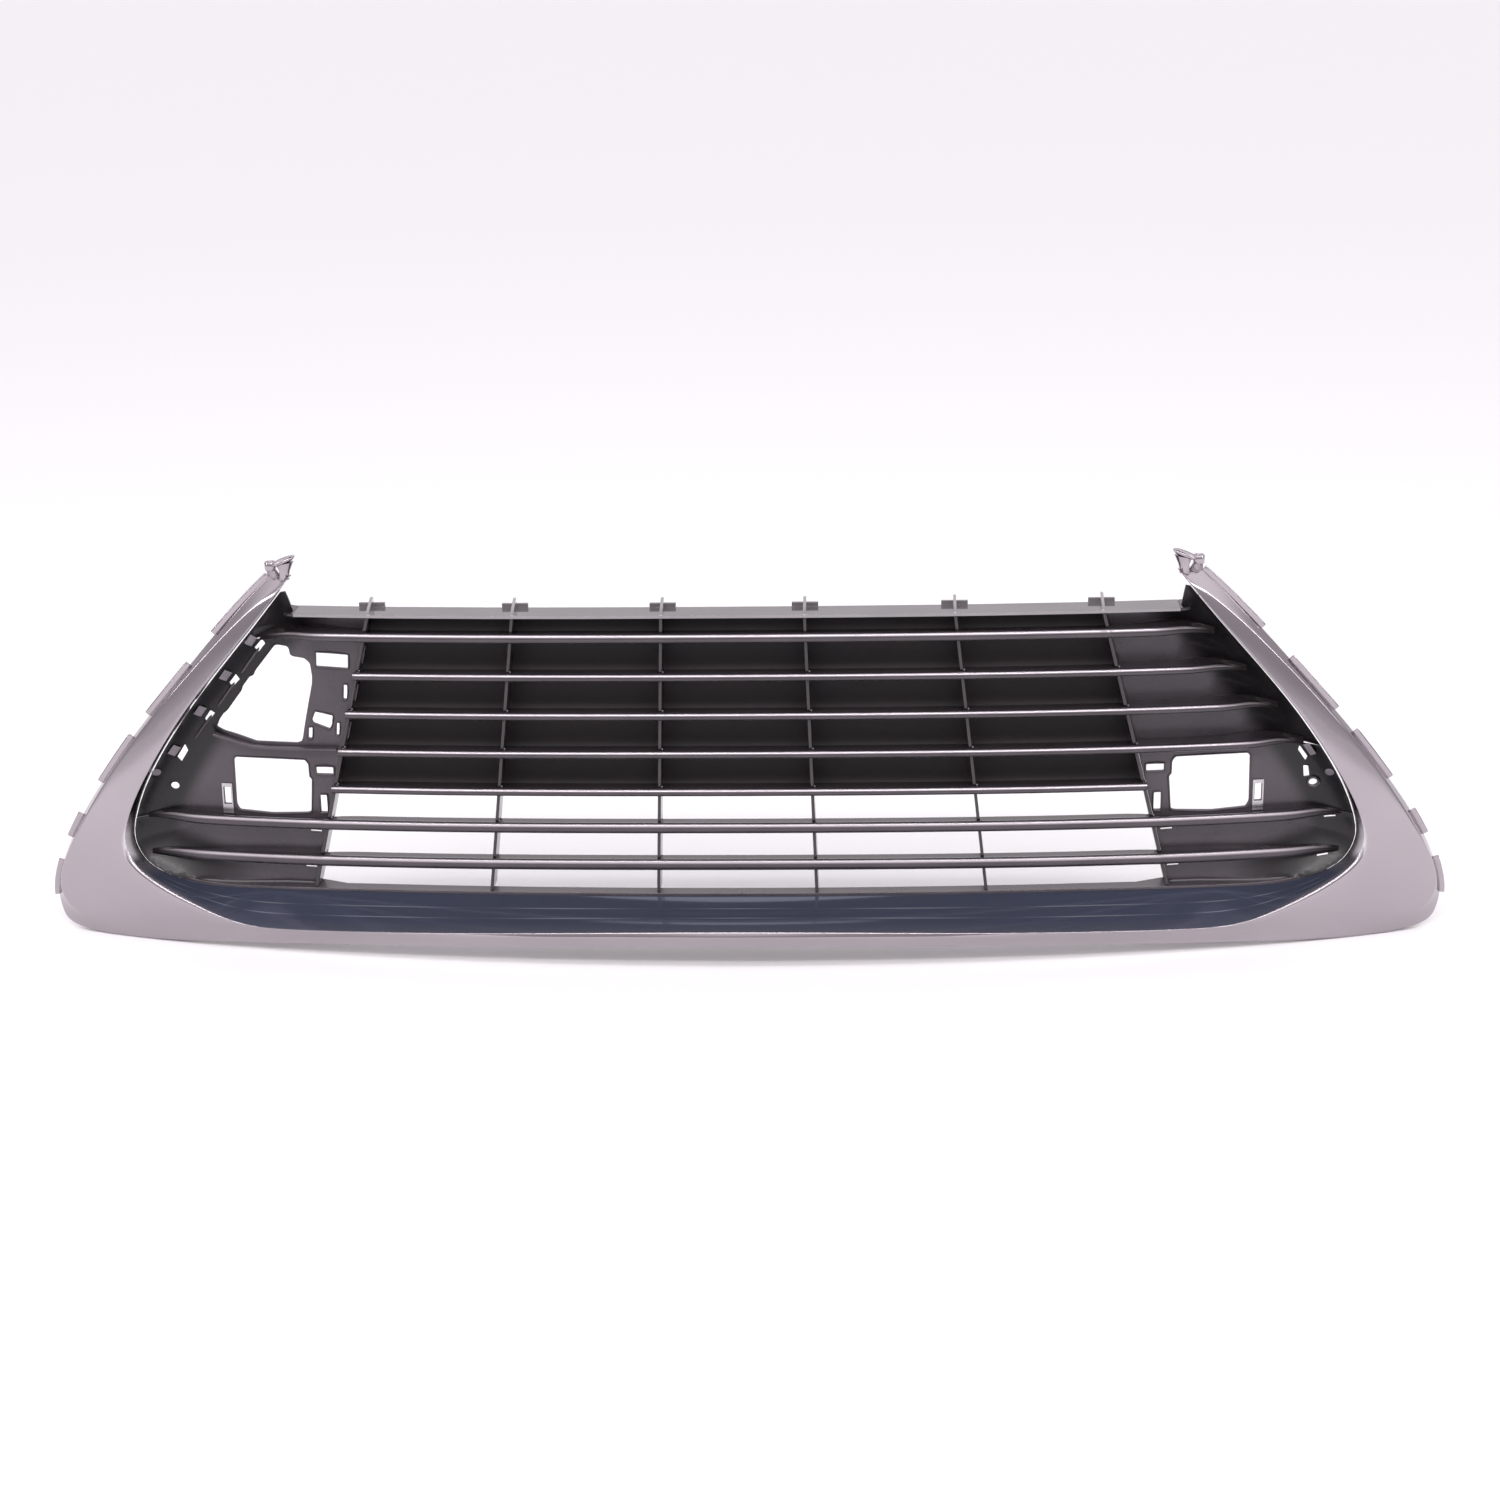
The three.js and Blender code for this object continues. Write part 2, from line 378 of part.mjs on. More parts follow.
// ---- louvre bars ----
const BAR_ENDS = [
  [-377, 377], ['cut', 403.5], ['cut', 430], ['cut', 452.5], ['cut', 'cut'], [-486, 486], [-485, 485],
];
function barSection(k, x, grow = 0) {
  const z = BAR_Z[k], h = BAR_HEIGHT[k], f = barFront(x, z), past = Math.abs(x) > ribX(2, z) + 0.6;
  const end = BAR_ENDS[k][x < 0 ? 0 : 1];
  let rise = 0, back = f + BAR_BACK, nose = f + BAR_NOSE;
  if (end !== 'cut') {
    const s = Math.min(1, Math.max(0, (Math.abs(x) - (Math.abs(end) - WEDGE_LENGTH)) / WEDGE_LENGTH));
    rise = (k < 5 ? WEDGE_RISE : 0.6 * WEDGE_RISE) * s * s * (3 - 2 * s);
  }
  if (past) {
    const deep = k > 3 || (x < 0 && k > 0) ? WINDOW_Y : SIDE_Y;
    const wall = Math.min(...[-3.5, 0, rise + 1.5, rise + 5].map((o) => sideFront(x, z + o, deep))) - 1.5;
    nose = Math.min(nose, wall - 3.8);
    back = Math.max(nose + 3.6, Math.min(back, wall));
  }
  const q = Math.min(1, (back - nose) / 13);
  if (grow) {
    const hh = h / 2 + GAP, ff = FIN_HALF + 0.9;
    return [[nose - 3, -hh], [nose - 3, hh], [nose + 7.6, hh], [nose + 7.6, ff], [back + GAP, ff], [back + GAP, -ff], [nose + 7.6, -ff], [nose + 7.6, -hh]].map(([y, v]) => [x, y, z + v]);
  }
  return [
    [nose + 1.3 * q, -h / 2], [nose, -h * 0.16], [nose + 0.5 * q, h * 0.22], [nose + 2.0 * q, h * 0.43], [nose + 3.8 * q, h / 2],
    [nose + 7 * q, FIN_HALF + 0.5], [back, rise + FIN_HALF], [back, rise - FIN_HALF], [nose + 6 * q, -FIN_HALF - 0.3],
  ].map(([y, v]) => [x, y, z + v]);
}
function bar(k) {
  const z = BAR_Z[k];
  const [lo, hi] = BAR_ENDS[k].map((e, s) => (e === 'cut' ? (s ? 1 : -1) * (ribX(2, z) + BAR_CUT) : e));
  const xs = new Set([lo, hi]);
  for (let x = -260; x <= 260; x += 52) xs.add(x);
  for (const s of [-1, 1]) {
    const end = Math.abs(s < 0 ? lo : hi), edge = ribX(2, z);
    xs.add(s * (edge + 0.5)); xs.add(s * (edge + 0.7));
    for (let x = edge + 14; x < end - 5; x += 14) xs.add(s * x);
  }
  const list = [...xs].filter((x) => x >= lo && x <= hi).sort((a, b) => a - b);
  return toSolid(loft(list.map((x) => barSection(k, x))));
}

// ---- ribs ----
function rib(k, side) {
  const t = RIB_THICK[k] / 2, rings = [];
  const zLo = bottomAt(ribX(k, -107)) + 0.4;
  const zs = [zLo, -70, -30, 10, 50, 90, RIB_TOP];
  for (const z of zs) {
    const x = side * ribX(k, z), y = barFront(x, z);
    rings.push([[x - t, y + RIB_FRONT, z], [x + t, y + RIB_FRONT, z], [x + t, y + RIB_REAR, z], [x - t, y + RIB_REAR, z]]);
  }
  let m = toSolid(loft(rings));
  for (let b = 0; b < BAR_Z.length; b++) {
    const x = side * ribX(k, BAR_Z[b]);
    const a = barSection(b, x - 0.4, 1), c = barSection(b, x + 0.4, 1);
    const cut = loft([a.map(([, y, z]) => [x - 4, y, z]), c.map(([, y, z]) => [x + 4, y, z])]);
    m = m.subtract(toSolid(cut));
  }
  return m;
}

// ---- rails ----
function bottomAt(x) {          // top of the bottom rail at this x
  const ax = Math.abs(x);
  for (let i = 26; i < N_ST - 1; i++) {
    const a = RIM_BACK[i], b = RIM_BACK[i + 1];
    if (ax <= a[0] && ax >= b[0]) { const t = (a[0] - ax) / (a[0] - b[0]); return a[2] + (b[2] - a[2]) * t + BOTTOM_RAIL_H - 0.4; }
  }
  return RIM_BACK[N_ST - 1][2] + BOTTOM_RAIL_H - 0.4;
}
function bottomRail() {
  const ring = (i, side) => {
    const p = RIM_BACK[i], [nx, nz] = inward[i];
    const at = (o, y) => [side * (p[0] + nx * o), y, p[2] + nz * o];
    const y0 = p[1] + 0.4, y1 = Math.min(barFront(p[0], p[2]) + 23, y0 + 30);
    return [at(-0.4, y0), at(BOTTOM_RAIL_H - 0.4, y0), at(BOTTOM_RAIL_H - 0.4, y1), at(-0.4, y1)];
  };
  const rings = [];
  for (let i = 28; i < N_ST; i++) rings.push(ring(i, 1));
  for (let i = N_ST - 2; i >= 28; i--) rings.push(ring(i, -1));
  return toSolid(loft(rings));
}
function topRail() {
  const xs = [];
  for (let x = -RAIL_HALF; x <= RAIL_HALF + 1e-6; x += RAIL_HALF / 9) xs.push(x);
  const z0 = RAIL_Z[0], z1 = RAIL_Z[1];
  const rings = xs.map((x) => { const f = barFront(x, z1); return [[x, f + RAIL_Y[0], z0], [x, f + RAIL_Y[0], z1], [x, f + RAIL_Y[1], z1], [x, f + RAIL_Y[1], z0]]; });
  let m = toSolid(loft(rings));
  for (const side of [-1, 1]) for (let k = 0; k < 3; k++) {
    const x = side * ribX(k, 122), f = barFront(x, 122);
    const fin = loft([-1.2, 1.2].map((o) => [[x + o, f + 2, z1 - 1], [x + o, f + 2, z1 + 0.4], [x + o, f + 21.5, z1 + 8], [x + o, f + 25.4, z1 + 8], [x + o, f + 25.4, z1 - 1]]));
    m = m.add(toSolid(fin));
    m = m.add(toSolid(box(x - LUG_HALF, x + LUG_HALF, f + 23.4, f + 26.6, z1 - 0.8, z1 + 3.4)));
  }
  return m;
}

// ---- panels ----
function backPanel() {
  const lo = -26, hi = 119.8;
  const outline = [[-ribX(2, lo) - 1.2, lo], [ribX(2, lo) + 1.2, lo], [ribX(2, hi) + 1.2, hi], [-ribX(2, hi) - 1.2, hi]];
  const s = toSolid(sheet(-340, 340, 14, lo - 4, hi + 4, 1, (x, z) => barFront(x, z) + BACK_Y, PANEL_SKIN));
  return s.intersect(toSolid(prism(outline, [], -40, 120)));
}
function sidePanel(side, zLo, zHi, depth, holes, outline) {
  const nx = 13, nz = Math.max(3, Math.round((zHi - zLo) / 13));
  const front = (x, z) => sideFront(x, z, depth);
  const a = side > 0 ? 270 : -508, b = side > 0 ? 508 : -270;
  const s = toSolid(sheet(a, b, nx, zLo - 1, zHi + 1, nz, front, PANEL_SKIN));
  return s.intersect(toSolid(prism(side > 0 ? outline : mirrored(outline), holes, -60, 120)));
}
const panelEdge = (z) => [ribX(2, z) + RIB_THICK[2] / 2 + 0.4, z];
const rect = (x, z, w, h, turn = 0) => [[-w / 2, -h / 2], [w / 2, -h / 2], [w / 2, h / 2], [-w / 2, h / 2]].map(([u, v]) => [x + u * Math.cos(turn) - v * Math.sin(turn), z + u * Math.sin(turn) + v * Math.cos(turn)]);
function upperOutline(zLo) {
  return [panelEdge(zLo), ...rimBetween(145.2, zLo).reverse(), [353.0, 144.6], [352.4, 124.0], [352.4, 119.8], panelEdge(119.8)];
}
const windowOutline = (zHi, zLo) => [panelEdge(zLo), ...rimBetween(zHi, zLo).reverse(), panelEdge(zHi)];
function lowerOutline(zHi) {
  const rim = RIM.filter((p, i) => p[1] < zHi - 0.8 && p[0] > ribX(2, -107) + 4);
  const x0 = ribX(2, -105.6) + RIB_THICK[2] / 2 + 0.4;
  return [[x0, bottomAt(x0) + 0.4], ...rim.reverse(), rimAtZ(zHi), panelEdge(zHi)];
}
function patch(cx, cz, outline, holes, lift, thick, depth) {
  const s = toSolid(sheet(cx - 18, cx + 18, 3, cz - 20, cz + 20, 3, (x, z) => sideFront(x, z, depth) - lift - thick, thick));
  return s.intersect(toSolid(prism(outline, holes, -60, 120)));
}
function ledge() {
  const path = [[-425.5, 20.6], [-419.5, 17.6], [-406, 13.0], [-393, 9.9], [-380, 9.4], [-356, 9.4], [-340, 9.6], [-323, 9.8]];
  return toSolid(loft(path.map(([x, z]) => {
    const y = Math.min(sideFront(x, z + 1.4, WINDOW_Y), sideFront(x, z - 1.4, WINDOW_Y)) - GAP - 0.4;
    return [[x, y - 7, z - 1.1], [x, y - 7, z + 1.1], [x, y, z + 1.1], [x, y, z - 1.1]];
  })));
}

// ---- finishes ----
const bright = () => new THREE.MeshStandardMaterial({ color: 0xb7b1b8, roughness: 0.12, metalness: 1.0 });
const satin = () => new THREE.MeshStandardMaterial({ color: 0x3a363b, roughness: 0.32, metalness: 0.55 });
const panelGrey = () => new THREE.MeshStandardMaterial({ color: 0x39353a, roughness: 0.42, metalness: 0.3 });
const black = () => new THREE.MeshStandardMaterial({ color: 0x1b1a1c, roughness: 0.45, metalness: 0.1 });
const grained = () => new THREE.MeshStandardMaterial({ color: 0x2b272b, roughness: 0.75, metalness: 0.0 });
const steel = () => new THREE.MeshStandardMaterial({ color: 0x9a979c, roughness: 0.35, metalness: 1.0 });
const tongueGrey = () => new THREE.MeshStandardMaterial({ color: 0x6e666e, roughness: 0.5, metalness: 0.4 });

// ---- assembly ----
const group = new THREE.Group();
group.name = 'front_grille';
function place(name, solid, material) {
  const g = toGeometry(solid);
  g.translate(...ORIGIN_SHIFT);
  g.computeVertexNormals();
  const m = new THREE.Mesh(g, material);
  m.name = name;
  group.add(m);
}

place('chrome_surround', surround(), bright());
for (let k = 0; k < 7; k++) place(`louvre_bar_${k + 1}`, bar(k), satin());
const ribName = (side, k) => `rib_${side < 0 ? 3 - k : 4 + k}`;
for (const [side, k] of [[-1, 2], [-1, 1], [-1, 0], [1, 0], [1, 1], [1, 2]]) place(ribName(side, k), rib(k, side), black());
place('top_rail', topRail(), black());
place('bottom_rail', bottomRail(), black());
place('back_panel', backPanel(), grained());

const windowHoles = [LOWER_WINDOW, SLOT_UPPER, SLOT_LOWER, SLOT_CLIP, disc(...ROUND_HOLE)];
const splitBar4 = BAR_Z[3] - FIN_HALF - 0.4, splitBar1 = BAR_Z[0] - FIN_HALF - 0.4, splitBar6 = BAR_Z[5];
place('side_panel_right_upper', sidePanel(1, splitBar4 + 0.5, 146, SIDE_Y, [], upperOutline(splitBar4 + 0.5)), panelGrey());
place('side_panel_right_window', sidePanel(1, splitBar6, splitBar4, WINDOW_Y, [...windowHoles, RAKED_SLOT_RIGHT, STUB_SLOT_RIGHT], windowOutline(splitBar4, splitBar6 + 0.3)), panelGrey());
const thin = (side) => UNDER_SLOTS.map(([x, z]) => rect(side * x, z, 9.4, 1.7, side * 0.03));
place('side_panel_right_lower', sidePanel(1, -107, splitBar6, WINDOW_Y, [...thin(1), rect(478.5, -56.6, 9.0, 1.8, 0.2), rect(473.0, -87.2, 9.0, 1.8, 0.2)], lowerOutline(splitBar6 - 0.3)), panelGrey());
place('side_panel_left_upper', sidePanel(-1, splitBar1 + 0.5, 146, SIDE_Y, [], upperOutline(splitBar1 + 0.5)), panelGrey());
place('side_panel_left_window', sidePanel(-1, splitBar6, splitBar1, WINDOW_Y, [...windowHoles.map(mirrored), BIG_OPENING, ...LEFT_SLOTS], windowOutline(splitBar1, splitBar6 + 0.3)), panelGrey());
place('side_panel_left_lower', sidePanel(-1, -107, splitBar6, WINDOW_Y, thin(-1), lowerOutline(splitBar6 - 0.3)), panelGrey());
place('window_ledge_left', ledge(), satin());

for (const side of [-1, 1]) {
  const word = side < 0 ? 'left' : 'right';
  const plate = [[414.9, -49.2], [414.9, -23.6], [424.0, -23.6], [424.0, -49.2]], hole = [[416.3, -41.4], [416.3, -26.8], [422.6, -26.8], [422.6, -41.4]];
  place(`spring_clip_${word}`, patch(side * 419.4, -36, side > 0 ? plate : mirrored(plate), [side > 0 ? hole : mirrored(hole)], GAP, 0.9, WINDOW_Y), steel());
}
TONGUES_LEFT.forEach(([x, z], i) => place(`lock_tongue_left_${i + 1}`, patch(x, z, rect(x, z, 6.0, 9.4, -0.66), [], 1.4, 1.0, WINDOW_Y), tongueGrey()));
place('lock_tongue_right_1', patch(...TONGUE_RIGHT, rect(...TONGUE_RIGHT, 4.8, 11.5, 0.6), [], 1.4, 1.0, WINDOW_Y), tongueGrey());

export default group;
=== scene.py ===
import json
import math
import bpy
import bmesh
import numpy as np
from mathutils import Matrix, Vector
from mathutils.geometry import delaunay_2d_cdt


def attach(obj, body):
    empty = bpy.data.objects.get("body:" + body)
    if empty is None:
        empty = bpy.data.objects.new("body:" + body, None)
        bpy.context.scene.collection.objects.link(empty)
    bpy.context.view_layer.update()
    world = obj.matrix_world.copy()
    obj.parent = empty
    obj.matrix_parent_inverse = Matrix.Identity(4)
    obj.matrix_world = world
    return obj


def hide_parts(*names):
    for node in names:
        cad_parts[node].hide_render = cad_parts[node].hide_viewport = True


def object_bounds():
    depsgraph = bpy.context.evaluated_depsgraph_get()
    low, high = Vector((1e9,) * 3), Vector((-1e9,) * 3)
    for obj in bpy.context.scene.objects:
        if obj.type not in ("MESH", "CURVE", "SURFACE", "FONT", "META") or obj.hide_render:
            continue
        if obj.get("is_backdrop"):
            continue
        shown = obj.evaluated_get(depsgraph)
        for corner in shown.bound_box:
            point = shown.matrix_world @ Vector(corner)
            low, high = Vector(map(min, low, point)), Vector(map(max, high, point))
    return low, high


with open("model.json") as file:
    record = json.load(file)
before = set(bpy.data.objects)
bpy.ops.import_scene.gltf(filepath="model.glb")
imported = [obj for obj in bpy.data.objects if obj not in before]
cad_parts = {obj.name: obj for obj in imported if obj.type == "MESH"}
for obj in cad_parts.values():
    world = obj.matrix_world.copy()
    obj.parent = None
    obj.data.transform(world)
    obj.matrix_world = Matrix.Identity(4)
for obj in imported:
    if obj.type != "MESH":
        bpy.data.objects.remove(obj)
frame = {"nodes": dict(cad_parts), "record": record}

CAD_LO, CAD_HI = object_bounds()

# All lengths below are millimetres in the design frame; P() moves them to metres in the row frame.
SHIFT = (0.0, 7.4, -12.81)


def P(p):
    return ((p[0] + SHIFT[0]) / 1000.0, (p[1] + SHIFT[1]) / 1000.0, (p[2] + SHIFT[2]) / 1000.0)


RIM_BACK = [
    [345.5, -1.2, 159.1], [356.6, 0.4, 145.4], [367.9, 2.0, 131.8], [379.3, 3.6, 118.1], [390.9, 5.4, 104.5],
    [402.6, 7.2, 90.8], [414.4, 9.1, 77.1], [426.0, 11.0, 63.1], [437.2, 13.0, 49.2], [447.6, 14.8, 35.5],
    [456.9, 16.5, 22.4], [465.2, 18.0, 10.2], [472.5, 19.5, -1.3], [479.1, 20.8, -12.5], [485.4, 22.2, -24.4],
    [491.2, 23.6, -37.6], [495.7, 24.7, -50.6], [498.0, 25.2, -61.0], [498.1, 25.1, -68.5], [496.9, 24.8, -74.4],
    [494.8, 24.3, -79.6], [492.0, 23.7, -84.5], [488.2, 23.1, -89.1], [482.9, 22.3, -93.4], [475.8, 21.4, -97.4],
    [467.4, 20.5, -100.9], [458.2, 19.6, -103.7], [448.6, 18.7, -105.8], [438.9, 17.8, -107.3], [429.0, 16.8, -108.3],
    [418.8, 15.4, -108.8], [408.4, 13.9, -108.9], [398.0, 12.4, -108.8], [387.1, 10.9, -108.8], [373.3, 9.2, -108.6],
    [352.5, 7.0, -108.5], [322.2, 4.2, -108.3], [284.8, 1.3, -108.2], [244.5, -1.2, -108.3], [203.8, -3.1, -108.4],
    [163.0, -4.5, -108.6], [122.3, -5.5, -108.7], [81.5, -6.1, -108.9], [40.8, -6.5, -109.0], [0.0, -6.5, -109.0],
]
RIM_EDGE = [
    [346.1, -11.2, 159.6], [357.2, -10.1, 145.9], [368.4, -8.9, 132.2], [379.8, -7.7, 118.6], [391.4, -6.3, 105.1],
    [403.2, -4.8, 91.5], [415.0, -3.3, 77.7], [426.9, -1.7, 63.8], [438.4, -0.2, 49.6], [449.1, 1.3, 35.4],
    [458.5, 2.5, 22.0], [466.6, 3.6, 9.9], [473.6, 4.5, -1.2], [480.1, 5.4, -11.9], [486.2, 6.2, -22.7],
    [491.8, 6.8, -33.7], [496.4, 7.2, -44.4], [499.7, 7.4, -54.0], [501.4, 7.3, -61.8], [501.7, 7.0, -68.2],
    [500.8, 6.4, -73.9], [498.8, 5.6, -79.0], [495.4, 4.4, -83.9], [490.2, 2.8, -89.0], [483.0, 0.7, -94.3],
    [474.2, -1.7, -99.8], [464.5, -4.3, -104.9], [454.6, -6.9, -109.8], [444.6, -9.5, -114.4], [434.6, -11.9, -118.6],
    [424.5, -14.3, -122.3], [414.4, -16.7, -125.3], [404.1, -18.9, -127.7], [393.1, -21.2, -129.3], [379.0, -23.9, -130.0],
    [357.8, -27.7, -129.8], [326.9, -32.7, -128.9], [288.9, -38.3, -127.6], [248.1, -43.7, -126.1], [206.7, -48.3, -124.6],
    [165.4, -52.0, -123.0], [124.0, -54.9, -121.6], [82.7, -57.0, -120.5], [41.3, -58.3, -119.8], [0.0, -59.2, -119.3],
]
FACE_CREASE = [
    [349.9, -7.6, 157.9], [365.0, -5.6, 145.5], [379.9, -3.5, 132.8], [394.6, -1.4, 119.7], [408.9, 0.7, 105.9],
    [422.9, 2.7, 91.6], [436.8, 4.9, 77.0], [450.7, 7.1, 62.1], [464.2, 9.3, 46.9], [477.1, 11.5, 31.9],
    [488.7, 13.4, 17.9], [498.6, 15.2, 5.5], [507.3, 16.8, -5.8], [515.3, 18.3, -16.7], [522.9, 19.7, -27.7],
    [530.4, 21.1, -38.9], [537.5, 22.4, -50.0], [544.1, 23.8, -60.5], [550.0, 25.1, -70.2], [555.1, 26.4, -79.4],
    [559.7, 27.6, -88.5], [563.3, 28.5, -97.7], [565.4, 28.8, -106.8], [565.2, 28.3, -115.4], [562.4, 26.8, -122.9],
    [557.1, 24.4, -128.8], [550.0, 21.5, -133.0], [541.4, 18.3, -135.7], [531.0, 14.8, -137.4], [517.1, 10.6, -138.5],
    [498.9, 5.5, -139.0], [477.4, -0.2, -138.9], [454.6, -5.8, -138.3], [431.5, -11.3, -137.3], [406.6, -16.8, -136.3],
    [377.0, -22.8, -135.0], [341.0, -29.4, -133.4], [300.3, -36.2, -131.7], [257.7, -42.5, -129.9], [214.8, -47.9, -128.3],
    [171.8, -52.3, -126.8], [128.9, -55.8, -125.6], [85.9, -58.3, -124.7], [43.0, -59.9, -124.1], [0.0, -61.0, -123.7],
]
FLANGE_EDGE = [
    [362.2, 5.7, 159.9], [376.3, 7.5, 146.5], [390.2, 9.3, 132.9], [403.8, 11.1, 118.7], [417.2, 12.9, 104.2],
    [430.4, 14.7, 89.4], [443.7, 16.6, 74.4], [457.1, 18.7, 59.2], [470.4, 20.8, 44.0], [483.1, 22.8, 29.0],
    [494.6, 24.7, 15.0], [504.3, 26.4, 2.5], [512.8, 28.0, -8.8], [520.8, 29.5, -19.7], [528.7, 31.0, -30.6],
    [536.3, 32.4, -41.7], [543.5, 33.9, -52.7], [549.9, 35.2, -63.4], [555.4, 36.4, -73.4], [560.1, 37.6, -82.9],
    [564.2, 38.6, -92.4], [567.7, 39.4, -101.8], [570.2, 39.9, -111.0], [571.3, 39.5, -119.1], [571.0, 38.3, -125.7],
    [569.7, 36.4, -131.2], [567.7, 34.2, -136.0], [564.9, 31.8, -140.5], [559.3, 28.7, -144.6], [547.9, 24.1, -147.9],
    [528.8, 17.7, -150.0], [504.0, 10.2, -150.5], [477.0, 2.4, -149.8], [449.5, -5.0, -148.3], [420.5, -12.2, -146.4],
    [387.7, -19.5, -144.3], [349.6, -26.9, -142.1], [307.5, -34.1, -140.0], [263.8, -40.7, -138.1], [219.8, -46.2, -136.4],
    [175.8, -50.8, -134.9], [131.9, -54.3, -133.8], [87.9, -56.8, -133.0], [44.0, -58.4, -132.5], [0.0, -59.5, -132.1],
]
LOWER_WINDOW = [[349, -45], [347, -17.5], [349, -15.5], [349.2, -5], [351.8, -1.6], [409.5, -1], [411.8, -3], [412.2, -41], [410, -45.8], [382, -47.5], [352.5, -46]]
SLOT_UPPER = [[328.4, -12.8], [328.4, -6.8], [342.5, -6.8], [342.5, -12.8]]
SLOT_LOWER = [[335, -45.2], [335, -30.6], [340.6, -30.6], [340.6, -45.2]]
SLOT_CLIP = [[416.7, -41.2], [416.7, -27], [422.2, -27], [422.2, -41.2]]
RAKED_SLOT_RIGHT = [[450.3, 6], [457.4, -3.8], [456.3, -7.9], [449.6, 1.8]]
STUB_SLOT_RIGHT = [[454.8, -12.1], [458.6, -12.2], [460.4, -21.7], [456, -22.8]]
ROUND_HOLE = [463.3, -26.6, 3.3]
BIG_OPENING = [[-423.4, 25.2], [-420.5, 31.5], [-416.6, 36.9], [-413.3, 39.3], [-399.8, 56.7], [-398.6, 60.3], [-391.7, 69.0], [-389.0, 69.6], [-386.7, 74.1], [-369.0, 95.6], [-366.7, 95.8], [-360.0, 94.0], [-358.7, 91.9], [-358.2, 86.5], [-356.1, 85.0], [-346.4, 83.4], [-342.3, 79.3], [-341.2, 68.6], [-341.7, 62.8], [-349.3, 30.9], [-352.1, 17.4], [-353.5, 14.0], [-356.9, 12.8], [-391.5, 13.0], [-417.8, 21.4]]
LEFT_SLOTS = [
    [[-336.7, 88.6], [-310.6, 87.2], [-311.2, 75.9], [-337.2, 77.2]],
    [[-340.4, 39.5], [-326.1, 36.5], [-327.2, 28.9], [-329.3, 25.4], [-342.6, 30.2], [-343.3, 32.7]],
    [[-315.4, 62.1], [-312.3, 62.2], [-313.4, 50.5], [-316.3, 50.5]],
    [[-323.0, 30.3], [-320.6, 30.4], [-321.6, 20.3], [-324.0, 20.2]],
    [[-346.6, 25.6], [-343.4, 26.2], [-344.3, 17.2], [-347.4, 17.1]],
    [[-450.4, 10.1], [-449.3, 5.0], [-454.9, -3.6], [-456.9, 0.5]],
    [[-406.0, 61.4], [-407.0, 65.3], [-401.9, 71.6], [-400.3, 67.2]],
    [[-429.9, 30.2], [-430.8, 33.7], [-426.2, 40.0], [-423.9, 37.6]],
    [[-377.5, 102.0], [-376.2, 98.2], [-381.4, 92.0], [-383.2, 95.6]],
]
TONGUES_LEFT = [[-384.4, 103.6], [-408.4, 73.4], [-432.6, 42.2], [-457.8, 7.6]]
TONGUE_RIGHT = [457.6, 4.4]
UNDER_SLOTS = [[345.8, -61.6], [351.8, -92.4]]
TAB_SPANS = [[156.5, 107.3], [81.4, 37.4], [18.2, -22.9], [-51.9, -72.7], [-93.7, -124.0]]
BAR_Z = [104.9, 73.1, 41.3, 9.8, -21.4, -51.3, -82.1]
BAR_HEIGHT = [7.2, 6.0, 6.0, 6.0, 6.0, 8.2, 8.6]
RIB_X = [60.6, 188.6, 320.7]
RIB_SPLAY = [0.033, 0.113, 0.244]
RIB_THICK = [2.6, 2.6, 3.0]
GAP = 0.35
TAB_OUT, TAB_THICK = 4.2, 2.4
BAR_NOSE, BAR_BACK, FIN_HALF, WEDGE_RISE, WEDGE_LENGTH, BAR_CUT = -5.0, 17.0, 1.1, 6.0, 80.0, 2.2
SIDE_Y, WINDOW_Y, PANEL_SKIN, WALL_BAND, BOTTOM_RAIL_H = 20.0, 10.0, 2.5, 46.0, 2.4
N_ST = len(RIM_BACK)


# ---------------------------------------------------------------- surfaces
def bar_front(x, z):
    return 6e-5 * x * x + 3.8e-10 * x ** 4 + 0.043 * z


def rib_x(k, z):
    return RIB_X[k] - RIB_SPLAY[k] * z


RB = np.array(RIM_BACK)


def rim_near(x, z):
    ax = abs(x)
    a, b = RB[:-1], RB[1:]
    dx, dz = b[:, 0] - a[:, 0], b[:, 2] - a[:, 2]
    t = np.clip(((ax - a[:, 0]) * dx + (z - a[:, 2]) * dz) / (dx * dx + dz * dz), 0, 1)
    d = np.hypot(ax - a[:, 0] - dx * t, z - a[:, 2] - dz * t)
    i = int(np.argmin(d))
    return i + t[i], a[i, 1] + (b[i, 1] - a[i, 1]) * t[i], d[i]


def side_front(x, z, depth):
    flat = bar_front(x, z) + depth
    i, y, d = rim_near(x, z)
    share = 1.0 if i <= 26 else 0.0 if i >= 34 else (34 - i) / 8.0
    g = max(0.0, 1 - d / WALL_BAND) ** 2
    return flat - (flat - (y - 1.5)) * g * share


